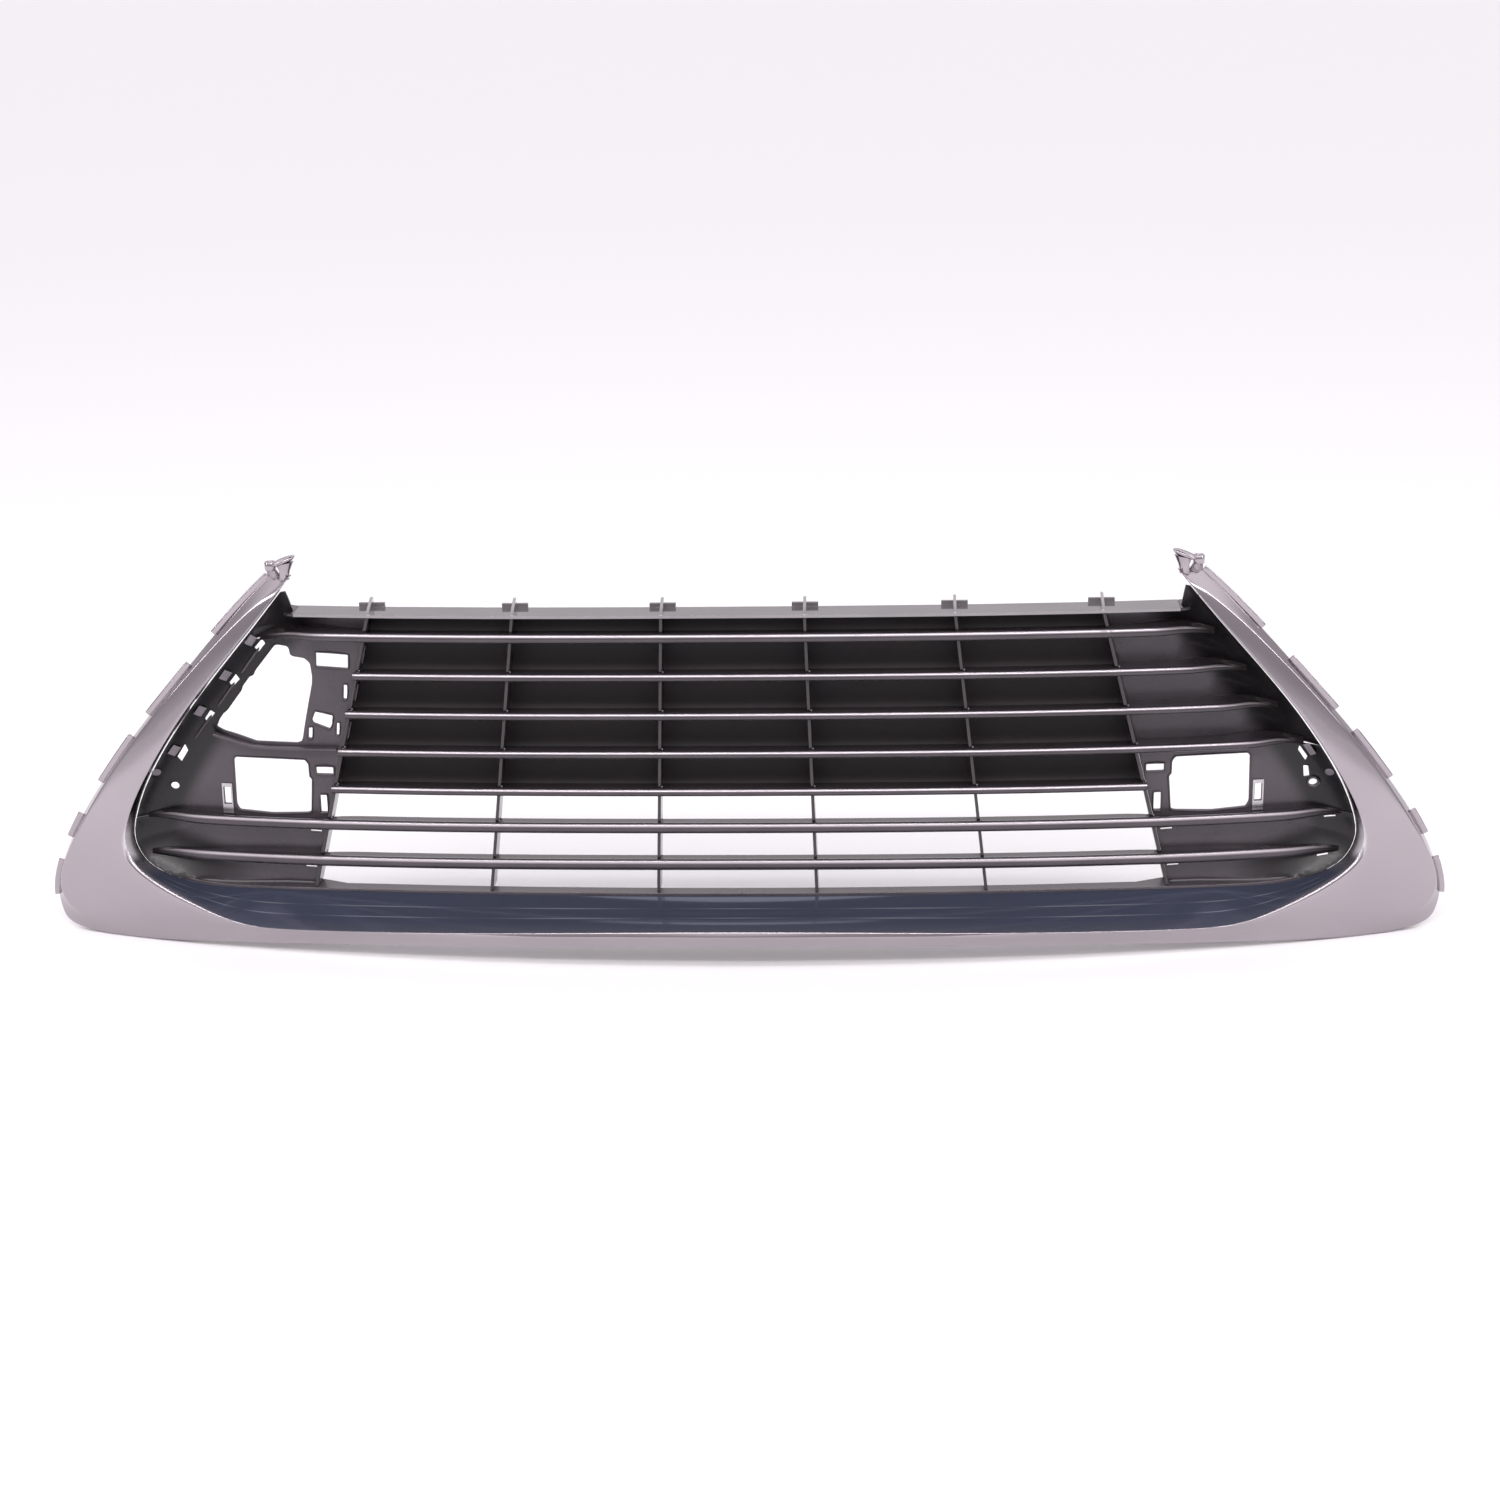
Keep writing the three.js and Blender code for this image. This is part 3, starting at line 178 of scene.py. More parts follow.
# ---------------------------------------------------------------- materials
def node_mat(name, colour, colour2, metallic, rough, rough_span, grain_scale, grain, patch_scale=18.0,
             coat=0.0, coat_rough=0.1, specular=0.5, wave=0.0, wave_scale=6.0):
    m = bpy.data.materials.new(name)
    m.use_nodes = True
    t = m.node_tree
    for n in list(t.nodes):
        t.nodes.remove(n)
    out = t.nodes.new("ShaderNodeOutputMaterial")
    b = t.nodes.new("ShaderNodeBsdfPrincipled")
    t.links.new(b.outputs[0], out.inputs[0])
    co = t.nodes.new("ShaderNodeTexCoord")
    broad = t.nodes.new("ShaderNodeTexNoise")
    broad.inputs["Scale"].default_value = patch_scale
    broad.inputs["Detail"].default_value = 5.0
    t.links.new(co.outputs["Object"], broad.inputs["Vector"])
    ramp = t.nodes.new("ShaderNodeValToRGB")
    ramp.color_ramp.elements[0].position = 0.35
    ramp.color_ramp.elements[1].position = 0.68
    ramp.color_ramp.elements[0].color = (*colour, 1)
    ramp.color_ramp.elements[1].color = (*colour2, 1)
    t.links.new(broad.outputs["Fac"], ramp.inputs["Fac"])
    t.links.new(ramp.outputs["Color"], b.inputs["Base Color"])
    fine = t.nodes.new("ShaderNodeTexNoise")
    fine.inputs["Scale"].default_value = grain_scale
    fine.inputs["Detail"].default_value = 3.0
    t.links.new(co.outputs["Object"], fine.inputs["Vector"])
    mr = t.nodes.new("ShaderNodeMapRange")
    mr.inputs["From Min"].default_value = 0.3
    mr.inputs["From Max"].default_value = 0.7
    mr.inputs["To Min"].default_value = max(0.01, rough - rough_span)
    mr.inputs["To Max"].default_value = rough + rough_span
    mixn = t.nodes.new("ShaderNodeMath")
    mixn.operation = "ADD"
    half1 = t.nodes.new("ShaderNodeMath")
    half1.operation = "MULTIPLY"
    half1.inputs[1].default_value = 0.6
    half2 = t.nodes.new("ShaderNodeMath")
    half2.operation = "MULTIPLY"
    half2.inputs[1].default_value = 0.4
    t.links.new(broad.outputs["Fac"], half1.inputs[0])
    t.links.new(fine.outputs["Fac"], half2.inputs[0])
    t.links.new(half1.outputs[0], mixn.inputs[0])
    t.links.new(half2.outputs[0], mixn.inputs[1])
    t.links.new(mixn.outputs[0], mr.inputs["Value"])
    t.links.new(mr.outputs["Result"], b.inputs["Roughness"])
    bump = t.nodes.new("ShaderNodeBump")
    bump.inputs["Strength"].default_value = grain
    bump.inputs["Distance"].default_value = 0.0002
    t.links.new(fine.outputs["Fac"], bump.inputs["Height"])
    if wave:
        soft = t.nodes.new("ShaderNodeTexNoise")
        soft.inputs["Scale"].default_value = wave_scale
        soft.inputs["Detail"].default_value = 0.0
        t.links.new(co.outputs["Object"], soft.inputs["Vector"])
        b2 = t.nodes.new("ShaderNodeBump")
        b2.inputs["Strength"].default_value = wave
        b2.inputs["Distance"].default_value = 0.002
        t.links.new(soft.outputs["Fac"], b2.inputs["Height"])
        t.links.new(b2.outputs["Normal"], bump.inputs["Normal"])
    t.links.new(bump.outputs["Normal"], b.inputs["Normal"])
    b.inputs["Metallic"].default_value = metallic
    b.inputs["Specular IOR Level"].default_value = specular
    b.inputs["Coat Weight"].default_value = coat
    b.inputs["Coat Roughness"].default_value = coat_rough
    return m


CHROME = node_mat("bright_surround", (0.385, 0.349, 0.376), (0.415, 0.378, 0.406), 1.0, 0.085, 0.02, 900.0, 0.012, 9.0, wave=0.03)
SATIN = node_mat("satin_bar", (0.050, 0.042, 0.047), (0.068, 0.057, 0.064), 0.45, 0.19, 0.04, 2600.0, 0.07, 26.0, coat=0.6, coat_rough=0.07)
FRAME_BLACK = node_mat("black_frame", (0.022, 0.0175, 0.0205), (0.034, 0.0275, 0.032), 0.0, 0.21, 0.05, 1500.0, 0.09, 22.0, coat=0.3, coat_rough=0.08)
BACK = node_mat("grained_back", (0.020, 0.017, 0.019), (0.028, 0.024, 0.026), 0.0, 0.62, 0.08, 1300.0, 0.55, 15.0, specular=0.35)
PANEL = node_mat("satin_panel", (0.062, 0.052, 0.061), (0.084, 0.071, 0.082), 0.25, 0.30, 0.06, 2100.0, 0.10, 20.0, coat=0.15, coat_rough=0.15)


def paint_light_by_attribute(m, attr, colour):
    """Mixes the base colour towards a given colour where the point attribute is 1; used here for painted shade, painted
    highlights and painted reflections.
    """
    t = m.node_tree
    b = next(n for n in t.nodes if n.type == "BSDF_PRINCIPLED")
    src = b.inputs["Base Color"].links[0].from_socket
    a = t.nodes.new("ShaderNodeAttribute")
    a.attribute_name = attr
    mx = t.nodes.new("ShaderNodeMix")
    mx.data_type = "RGBA"
    t.links.new(a.outputs["Fac"], mx.inputs["Factor"])
    t.links.new(src, mx.inputs["A"])
    mx.inputs["B"].default_value = (*colour, 1)
    t.links.new(mx.outputs["Result"], b.inputs["Base Color"])


# painted shade: the side panels are mixed to near black towards the rim, where the wall turns inward into shade
paint_light_by_attribute(PANEL, "wall", (0.010, 0.009, 0.010))
# painted highlight: the lower-corner turns of the return are mixed towards near white
paint_light_by_attribute(CHROME, "lip", (0.80, 0.76, 0.80))
# painted reflection: the shelf is tinted navy where it would reflect the dark body
paint_light_by_attribute(CHROME, "shelf_painted_reflection", (0.060, 0.068, 0.104))
# painted reflection lines on the shelf
paint_light_by_attribute(CHROME, "painted_line_rows", (0.21, 0.215, 0.265))
# metallic is lowered under the painted shelf reflection and painted highlight (the "soft" attribute), so their painted
# colours show
at = CHROME.node_tree.nodes.new("ShaderNodeAttribute")
at.attribute_name = "soft"
less = CHROME.node_tree.nodes.new("ShaderNodeMapRange")
less.inputs["To Min"].default_value = 1.0
less.inputs["To Max"].default_value = 0.35
CHROME.node_tree.links.new(at.outputs["Fac"], less.inputs["Value"])
CHROME.node_tree.links.new(less.outputs["Result"], next(n for n in CHROME.node_tree.nodes if n.type == "BSDF_PRINCIPLED").inputs["Metallic"])
# painted highlight: a lighter band along the upper nose of each louvre bar
paint_light_by_attribute(SATIN, "painted_highlight", (0.49, 0.445, 0.477))
# painted shade: the cut bar ends are mixed to near black where they run into the shaded side walls
paint_light_by_attribute(SATIN, "wall", (0.010, 0.008, 0.009))
sat = next(n for n in SATIN.node_tree.nodes if n.type == "BSDF_PRINCIPLED")
# under that painted shade, coat, specular and metallic are taken down too
wa = SATIN.node_tree.nodes.new("ShaderNodeAttribute")
wa.attribute_name = "wall"
for sock, top, low in (("Coat Weight", 0.6, 0.0), ("Specular IOR Level", 0.5, 0.06), ("Metallic", 0.45, 0.0)):
    mrn = SATIN.node_tree.nodes.new("ShaderNodeMapRange")
    mrn.inputs["To Min"].default_value = top
    mrn.inputs["To Max"].default_value = low
    SATIN.node_tree.links.new(wa.outputs["Fac"], mrn.inputs["Value"])
    SATIN.node_tree.links.new(mrn.outputs["Result"], sat.inputs[sock])
# lighter, glossier copy of black_frame for the top rail: the coat gloss is a finish, the lighter base colour is painted
# light on the up-facing rail
RAIL_LIT_GLOSS = node_mat("black_frame_lit_gloss", (0.10, 0.088, 0.098), (0.14, 0.125, 0.137), 0.35, 0.12, 0.03, 1500.0, 0.05, 22.0, coat=1.0, coat_rough=0.05)
next(n for n in RAIL_LIT_GLOSS.node_tree.nodes if n.type == "BSDF_PRINCIPLED").inputs["Coat IOR"].default_value = 2.4
STEEL = node_mat("clip_steel", (0.46, 0.44, 0.46), (0.60, 0.58, 0.60), 1.0, 0.28, 0.08, 1800.0, 0.15, 60.0)
TONGUE = node_mat("tongue_plastic", (0.17, 0.15, 0.17), (0.23, 0.205, 0.23), 0.0, 0.42, 0.07, 1700.0, 0.15, 45.0)
SLOTS = {"bright_surround": CHROME, "satin_bar": SATIN, "black_frame": FRAME_BLACK, "grained_back": BACK,
         "satin_panel": PANEL, "clip_steel": STEEL, "tongue_plastic": TONGUE}


# ---------------------------------------------------------------- mesh helpers
def piece(name, verts, faces, slot, nodes=(), bevel=0.0, angle=35.0, segments=2, subsurf=0, smooth=40.0, attr=None, attr_name="wall", extra=None):
    """A closed piece from points in mm. Bevelled, smoothed and riding on the one body."""
    me = bpy.data.meshes.new(name)
    me.from_pydata([P(v) for v in verts], [], [list(map(int, f)) for f in faces])
    if attr is not None:
        me.attributes.new(attr_name, "FLOAT", "POINT").data.foreach_set("value", np.array(attr, np.float32))
    for key, vals in (extra or {}).items():
        me.attributes.new(key, "FLOAT", "POINT").data.foreach_set("value", np.array(vals, np.float32))
    bm = bmesh.new()
    bm.from_mesh(me)
    bmesh.ops.remove_doubles(bm, verts=bm.verts, dist=2e-6)
    bmesh.ops.dissolve_degenerate(bm, edges=bm.edges, dist=2e-6)
    bmesh.ops.recalc_face_normals(bm, faces=bm.faces)
    bm.to_mesh(me)
    bm.free()
    o = bpy.data.objects.new(name, me)
    bpy.context.scene.collection.objects.link(o)
    if bevel:
        md = o.modifiers.new("edge", "BEVEL")
        md.width = bevel / 1000.0
        md.segments = segments
        md.limit_method = "ANGLE"
        md.angle_limit = math.radians(angle)
        md.use_clamp_overlap = True
    if subsurf:
        md = o.modifiers.new("fine", "SUBSURF")
        md.levels = md.render_levels = subsurf
    if bevel or subsurf:
        dg = bpy.context.evaluated_depsgraph_get()
        new = bpy.data.meshes.new_from_object(o.evaluated_get(dg))
        o.modifiers.clear()
        o.data = new
        new.name = name
    for pgn in o.data.polygons:
        pgn.use_smooth = True
    o.data.set_sharp_from_angle(angle=math.radians(smooth))
    o.data.materials.clear()
    o.data.materials.append(SLOTS[slot])
    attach(o, "root")
    if nodes:
        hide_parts(*nodes)
    return o


def loft_faces(n_rings, n, close=True, caps=True):
    f = []
    for i in range(n_rings - 1):
        for j in range(n if close else n - 1):
            a, b = i * n + j, i * n + (j + 1) % n
            f.append((a, b, b + n, a + n))
    if caps:
        f.append(tuple(range(n - 1, -1, -1)))
        f.append(tuple((n_rings - 1) * n + j for j in range(n)))
    return f


def loft(rings, caps=True):
    n = len(rings[0])
    return [p for r in rings for p in r], loft_faces(len(rings), n, True, caps)


def join(parts):
    v, f = [], []
    for pv, pf in parts:
        k = len(v)
        v += [tuple(p) for p in pv]
        f += [tuple(i + k for i in q) for q in pf]
    return v, f


def unit(v):
    return v / np.maximum(np.linalg.norm(v, axis=-1, keepdims=True), 1e-9)


def bez(p0, c, p1, n):
    return [p0 * (1 - t) ** 2 + c * 2 * t * (1 - t) + p1 * t * t for t in np.linspace(0, 1, n)]


def smooth_path(p, passes=26):
    def low(q):
        for _ in range(passes):
            r = q.copy()
            r[1:-1] = 0.25 * q[:-2] + 0.5 * q[1:-1] + 0.25 * q[2:]
            q = r
        return q
    s = low(p)
    return s + low(p - s)


def upsample(p, k):
    """Catmull-Rom through the points, k steps between each two, then noise taken out."""
    q = np.vstack([2 * p[0] - p[1], p, 2 * p[-1] - p[-2]])
    out = []
    for i in range(1, len(q) - 2):
        for s in range(k):
            t = s / k
            a, b, c, d = q[i - 1], q[i], q[i + 1], q[i + 2]
            out.append(0.5 * (2 * b + (c - a) * t + (2 * a - 5 * b + 4 * c - d) * t * t + (3 * b - a - 3 * c + d) * t ** 3))
    out.append(q[-2])
    return smooth_path(np.array(out))


# ---------------------------------------------------------------- bright surround
def full(tab):
    r = np.array(tab, float)
    left = r[:-1][::-1] * np.array([-1, 1, 1])
    return np.vstack([r, left])


STEP = 6
A, B, C, D = (upsample(full(t), STEP) for t in (RIM_BACK, RIM_EDGE, FACE_CREASE, FLANGE_EDGE))
NP = len(A)
S_IDX = np.arange(NP) / STEP
S_IDX = np.minimum(S_IDX, (N_ST - 1) * 2 - S_IDX)      # station number from the nearer tip
tang = unit(np.gradient(B + C, axis=0))
wide = np.linalg.norm(C - B, axis=1, keepdims=True)
nface = unit(np.cross(C - B, tang))
nface[nface[:, 1] > 0] *= -1
nret = unit(np.cross(A - B, tang))
u_ret, u_face, u_fl = unit(A - B), unit(C - B), unit(D - C)
ret_len = np.linalg.norm(A - B, axis=1, keepdims=True)
fl_len = np.linalg.norm(D - C, axis=1, keepdims=True)
corner = np.clip((S_IDX[:, None] - 15) / 6, 0, 1) * np.clip((31 - S_IDX[:, None]) / 5, 0, 1)
db = np.minimum(np.minimum(1.1 + 3.6 * corner, 0.25 * ret_len), 0.16 * wide)
dc = np.minimum(np.minimum(1.5, 0.25 * wide), 0.25 * fl_len)
BULGE = 0.014


def face_pt(t):
    return B + (C - B) * t + nface * wide * BULGE * 4 * t * (1 - t)


t0, t1 = db / wide, 1 - dc / wide
outer = []
outer.append(A + np.array([0, 0.0, 0]))
for t in (0.75, 0.665, 0.645, 0.625, 0.5, 0.405, 0.385, 0.365, 0.28):
    outer.append(B + (A - B) * t)
outer += bez(B + u_ret * db, B, face_pt(t0), 5)
for s in np.linspace(0, 1, 12)[1:-1]:
    outer.append(face_pt(t0 + (t1 - t0) * s))
outer += bez(face_pt(t1), C, C + u_fl * dc, 5)
for s in (0.35, 0.7):
    outer.append(C + (D - C) * s + unit(np.cross(D - C, tang)) * 0)
ret = (3 + 6 * np.minimum(1, S_IDX / 40))[:, None] * np.array([0, 1.0, 0])
outer += bez(D - u_fl * 0.9, D, D + np.array([0, 0.9, 0]), 4)
outer.append(D + ret)
skin = (2.6 - 1.2 * np.clip(1 - S_IDX / 7, 0, 1))[:, None]
key = [A, B, C, D, D + ret]
normals = []
for j in range(4):
    n = unit(np.cross(key[j + 1] - key[j], tang))
    normals.append(n)
flip = normals[1][:, 1] < 0
normals = [np.where(flip[:, None], -n, n) for n in normals]
inner = []
for j, k in enumerate(key):
    na, nb = normals[max(0, j - 1)], normals[min(3, j)]
    v = (na + nb) / np.maximum(0.35, 1 + (na * nb).sum(1, keepdims=True))
    inner.append(k + v * skin)
ring = outer + inner[::-1]
rings = np.stack(ring, axis=1)                     # station, point, xyz
v, f = loft([list(r) for r in rings])
# the return of the lower run is the shelf; its navy colour is a painted reflection of the dark body, and it fades out
# in the lower corners
along = np.clip((S_IDX - 20.5) / 4.0, 0, 1)
along = along * along * (3 - 2 * along)
across = np.array([1.0] * 10 + [0.9, 0.55, 0.2] + [0.0] * (len(ring) - 13))
shelf_painted_reflection = (along[:, None] * across[None, :]).ravel()
# the turn of the return in the lower corners, above the shelf, gets a painted highlight: its colour is mixed towards
# near white (the "lip" attribute)
turn = np.clip((S_IDX - 15.5) / 2.0, 0, 1) * np.clip((22.5 - S_IDX) / 2.0, 0, 1)
across2 = np.array([0.0, 0.3, 0.4, 0.45, 0.5, 0.8, 0.9, 0.9, 0.95, 1.0, 1.0, 0.9, 0.6, 0.25] + [0.0] * (len(ring) - 14))
lip = (turn[:, None] * across2[None, :]).ravel() * (1 - shelf_painted_reflection)
# two painted reflection lines run along the shelf, a little lighter than its painted navy
painted_line_rows = np.zeros(len(ring))
painted_line_rows[[3, 7]] = 1.0
painted_reflection_lines = (along[:, None] * painted_line_rows[None, :] * (0.55 + 0.45 * np.cos(S_IDX * 1.7))[:, None]).ravel()
shell = piece("surround_shell", v, f, "bright_surround", ["chrome_surround"], smooth=50, attr=shelf_painted_reflection, attr_name="shelf_painted_reflection", extra={"painted_line_rows": painted_reflection_lines, "lip": lip, "soft": np.maximum(shelf_painted_reflection, lip)})


def flange_at(z):
    F = np.array(FLANGE_EDGE)
    for i in range(30):
        if F[i, 2] >= z >= F[i + 1, 2]:
            return i + (F[i, 2] - z) / (F[i, 2] - F[i + 1, 2])
    return 0.0


def flange_pt(s):
    F = np.array(FLANGE_EDGE)
    i = min(N_ST - 2, int(s))
    return F[i] + (F[i + 1] - F[i]) * (s - i), F[i + 1] - F[i]


for side, word in ((1, "right"), (-1, "left")):
    for num, (hi, lo) in enumerate(TAB_SPANS):
        ia, ib = flange_at(hi), flange_at(lo)
        rr = []
        for s in np.linspace(ia, ib, 13):
            p, d = flange_pt(s)
            l = math.hypot(d[0], d[2])
            o = np.array([-d[2] / l, 0, d[0] / l])
            prof = [(-1.4, 0.2), (TAB_OUT - 0.8, 0.2), (TAB_OUT, 0.9), (TAB_OUT, TAB_THICK - 0.4), (TAB_OUT - 0.8, 0.2 + TAB_THICK), (-1.4, 0.2 + TAB_THICK)]
            rr.append([((p + o * a)[0] * side, (p + o * a)[1] + b, (p + o * a)[2]) for a, b in prof])
        v, f = loft(rr)
        piece(f"snap_tab_{word}_{num + 1}", v, f, "bright_surround", bevel=0.35, angle=40)


def superring(c, ax, ay, n, p=2.4):
    """A rounded-rectangle ring in the plane of ax and ay."""
    out = []
    for k in range(n):
        a = 2 * math.pi * k / n
        ca, sa = math.cos(a), math.sin(a)
        out.append(tuple(np.array(c) + np.array(ax) * (abs(ca) ** (2 / p)) * math.copysign(1, ca) + np.array(ay) * (abs(sa) ** (2 / p)) * math.copysign(1, sa)))
    return out


for side, word in ((1, "right"), (-1, "left")):
    m = lambda q: [(side * x, y, z) for x, y, z in q]
    # neck: rises out of the arm end and widens under the cap
    rr = [superring((351.0, -3.6, 156.4), (4.4, 0, -0.5), (0.6, 4.2, 0), 20, 2.0), superring((350.4, -3.8, 160.0), (4.0, 0, -0.3), (0.3, 3.8, 0), 20, 2.0),
          superring((349.8, -4.0, 163.6), (4.3, 0, -0.3), (0, 3.9, 0), 20, 2.0), superring((349.5, -4.4, 167.4), (5.8, 0, -0.5), (0, 4.6, 0), 20, 2.0),
          superring((349.8, -4.6, 170.0), (7.6, 0, -1.4), (0, 5.2, 0), 20, 2.0)]
    v1, f1 = loft([m(r) for r in rr])
    piece(f"arm_tip_neck_{word}", v1, f1, "bright_surround", smooth=50)
    # hooked cap: a flattened ellipse with a soft top edge, tilted with the arm
    rr = []
    for k in range(13):
        a = -math.pi / 2 + math.pi * k / 12
        s = max(0.02, math.cos(a) ** 0.75)
        rr.append(superring((350.6 - 1.1 * math.sin(a), -4.6, 171.6 + 3.0 * math.sin(a)), (9.4 * s, 0, -3.1 * s), (0, 6.2 * s, 0), 28, 2.2))
    v2, f2 = loft([m(r) for r in rr])
    piece(f"arm_tip_cap_{word}", v2, f2, "bright_surround", smooth=50)
    # eyelet: a short tube with rounded rims
    prof = [(1.8, -3.2), (1.8, 3.0), (2.1, 3.4), (3.9, 3.4), (4.5, 2.9), (4.6, 0), (4.5, -3.1), (4.0, -3.5), (2.2, -3.5)]
    n = 32
    vv = []
    for k in range(n):
        a = 2 * math.pi * k / n
        for r, h in prof:
            vv.append((side * (361.3 + r * math.cos(a)), -2.5 + r * math.sin(a), 167.4 + h))
    ff = []
    q = len(prof)
    for k in range(n):
        for j in range(q):
            ff.append((k * q + j, k * q + (j + 1) % q, ((k + 1) % n) * q + (j + 1) % q, ((k + 1) % n) * q + j))
    piece(f"arm_tip_eyelet_{word}", vv, ff, "bright_surround", smooth=50)
    rr = [superring((359.0, 3.2, 156.6), (6.4, 0, 0.5), (1.0, 4.2, 0.2), 18), superring((360.2, 0.6, 160.4), (5.0, 0, 0.6), (0.4, 3.4, 0), 18),
          superring((361.2, -2.2, 164.6), (4.1, 0, 0.4), (0, 3.2, 0), 18)]
    v3, f3 = loft([m(r) for r in rr])
    piece(f"arm_tip_foot_{word}", v3, f3, "bright_surround", smooth=50)

# ---------------------------------------------------------------- louvre bars
BAR_ENDS = [(-377, 377), (None, 403.5), (None, 430), (None, 452.5), (None, None), (-486, 486), (-485, 485)]


# the painted shade on the side panels fades out between about WALL_EDGE - 7 and WALL_EDGE + 7 mm from the rim
WALL_EDGE = 34.0


def bar_section(k, x):
    z, h = BAR_Z[k], BAR_HEIGHT[k]
    fr = bar_front(x, z)
    past = abs(x) > rib_x(2, z) + 0.6
    end = BAR_ENDS[k][0 if x < 0 else 1]
    rise, back, nose, fade = 0.0, fr + BAR_BACK, fr + BAR_NOSE, 1.0
    if end is not None:
        s = min(1.0, max(0.0, (abs(x) - (abs(end) - WEDGE_LENGTH)) / WEDGE_LENGTH))
        rise = (WEDGE_RISE if k < 5 else 0.6 * WEDGE_RISE) * s * s * (3 - 2 * s)
    if past:
        deep = WINDOW_Y if k > 3 or (x < 0 and k > 0) else SIDE_Y
        wall = min(side_front(x, z + o, deep) for o in (-3.5, 0, rise + 1.5, rise + 5))
        if end is not None:
            e2 = min(1.0, max(0.0, (abs(end) - abs(x)) / 46.0))
            fade = e2 * (2 - e2)
        nose = min(nose, wall - 5.3)
        nose = nose + (wall + 0.4 - nose) * (1 - fade)
        back = max(nose + 1.4, min(back, wall + 0.9))
    q = min(1.0, (back - nose) / 13.0)
    e = 1.07
    h = h * (0.16 + 0.84 * fade)
    rise = rise * (0.55 + 0.45 * fade)
    ctrl = [(nose + 1.3 * q, -h / 2 * e), (nose - 0.15, -h * 0.2), (nose + 0.3 * q, h * 0.2), (nose + 1.7 * q, h * 0.45 * e), (nose + 4.0 * q, h / 2 * e),
            (nose + 7.2 * q, FIN_HALF + 0.6), (back - 0.6, rise + FIN_HALF + 0.02), (back + 0.1, rise + FIN_HALF), (back + 0.1, rise - FIN_HALF), (back - 0.6, rise - FIN_HALF - 0.02),
            (nose + 6.4 * q, -FIN_HALF - 0.4), (nose + 3.6 * q, -h / 2 * e)]
    pts = ctrl
    for _ in range(2):
        nxt = []
        for i in range(len(pts)):
            a, b = pts[i], pts[(i + 1) % len(pts)]
            nxt.append((a[0] * 0.75 + b[0] * 0.25, a[1] * 0.75 + b[1] * 0.25))
            nxt.append((a[0] * 0.25 + b[0] * 0.75, a[1] * 0.25 + b[1] * 0.75))
        pts = nxt
    return [(x, y, z + w) for y, w in pts]


def smooth_rings(xs, rings, span=5):
    """Evens the depth of the sections along the bar so that the side run is one soft curve."""
    r = np.array(rings)
    mid = r[:, :, 1].copy()
    for _ in range(span):
        nm = mid.copy()
        nm[1:-1] = 0.25 * mid[:-2] + 0.5 * mid[1:-1] + 0.25 * mid[2:]
        nm = np.minimum(nm, mid + 0.05)
        mid = nm
    r[:, :, 1] = mid
    return r


for k in range(7):
    lo, hi = ((e if e is not None else s * (rib_x(2, BAR_Z[k]) + BAR_CUT)) for e, s in zip(BAR_ENDS[k], (-1, 1)))
    edge = rib_x(2, BAR_Z[k])
    xs = list(np.arange(-edge, edge, 10.0)) + [edge]
    x = edge + 3.5
    while x < hi:
        xs.append(x); x += 3.5
    x = -edge - 3.5
    while x > lo:
        xs.append(x); x -= 3.5
    xs = sorted(q for q in set(xs) if lo + 1.2 < q < hi - 1.2)
    xs = [lo, lo + 0.4] + xs + [hi - 0.4, hi]
    r = smooth_rings(xs, [bar_section(k, q) for q in xs])
    for e, s in ((0, 0.82), (-1, 0.82)):                # round the two ends a little
        c = r[e].mean(0)
        r[e][:, 1:] = c[1:] + (r[e][:, 1:] - c[1:]) * s
    v, f = loft([list(q) for q in r])
    painted_end_shade, painted_highlight = [], []
    # painted highlight mask: a band across the upper nose of the bar
    for q in xs:
        tall = BAR_HEIGHT[k]
        for j in range(r.shape[1]):
            up = (r[xs.index(q), j, 2] - BAR_Z[k]) / tall
            front = r[xs.index(q), j, 1] < r[xs.index(q), :, 1].min() + 2.4
            painted_highlight.append(max(0.0, 1 - ((up - 0.27) / 0.15) ** 2) if front else 0.0)
    # painted shade mask over the last 62 mm of each cut bar end, weaker on the nose
    for q in xs:
        for j in range(r.shape[1]):
            w = 0.0
            for e in (BAR_ENDS[k][0], BAR_ENDS[k][1]):
                if e is not None and q * e > 0:
                    w = min(1.0, max(0.0, (abs(q) - (abs(e) - 62.0)) / 58.0))
            nosed = r[xs.index(q), j, 1] < r[xs.index(q), :, 1].min() + 2.6
            painted_end_shade.append(w * w * (3 - 2 * w) * (0.45 + 0.55 * w * w if nosed else 1.0))
    piece(f"louvre_{k + 1}", v, f, "satin_bar", [f"louvre_bar_{k + 1}"], smooth=60, attr=painted_end_shade, extra={"painted_highlight": painted_highlight})

# ---------------------------------------------------------------- side panels
inw = []
for i in range(N_ST):
    a, b = RB[max(0, i - 1)], RB[min(N_ST - 1, i + 1)]
    l = math.hypot(b[0] - a[0], b[2] - a[2])
    inw.append(((b[2] - a[2]) / l, -(b[0] - a[0]) / l))


def rim_inset(i):
    return 0.6 + (BOTTOM_RAIL_H + 0.2) * min(1.0, max(0.0, (i - 25) / 3.0))


RIM = [(RB[i][0] + inw[i][0] * rim_inset(i), RB[i][2] + inw[i][1] * rim_inset(i)) for i in range(N_ST)]


def rim_at(z):
    for i in range(N_ST - 1):
        (xa, za), (xb, zb) = RIM[i], RIM[i + 1]
        if za >= z >= zb:
            return (xa + (xb - xa) * (za - z) / (za - zb), z)
    return RIM[0]


def rim_between(hi, lo):
    return [rim_at(hi)] + [p for i, p in enumerate(RIM) if i < 30 and hi - 0.5 > p[1] > lo + 0.5] + [rim_at(lo)]


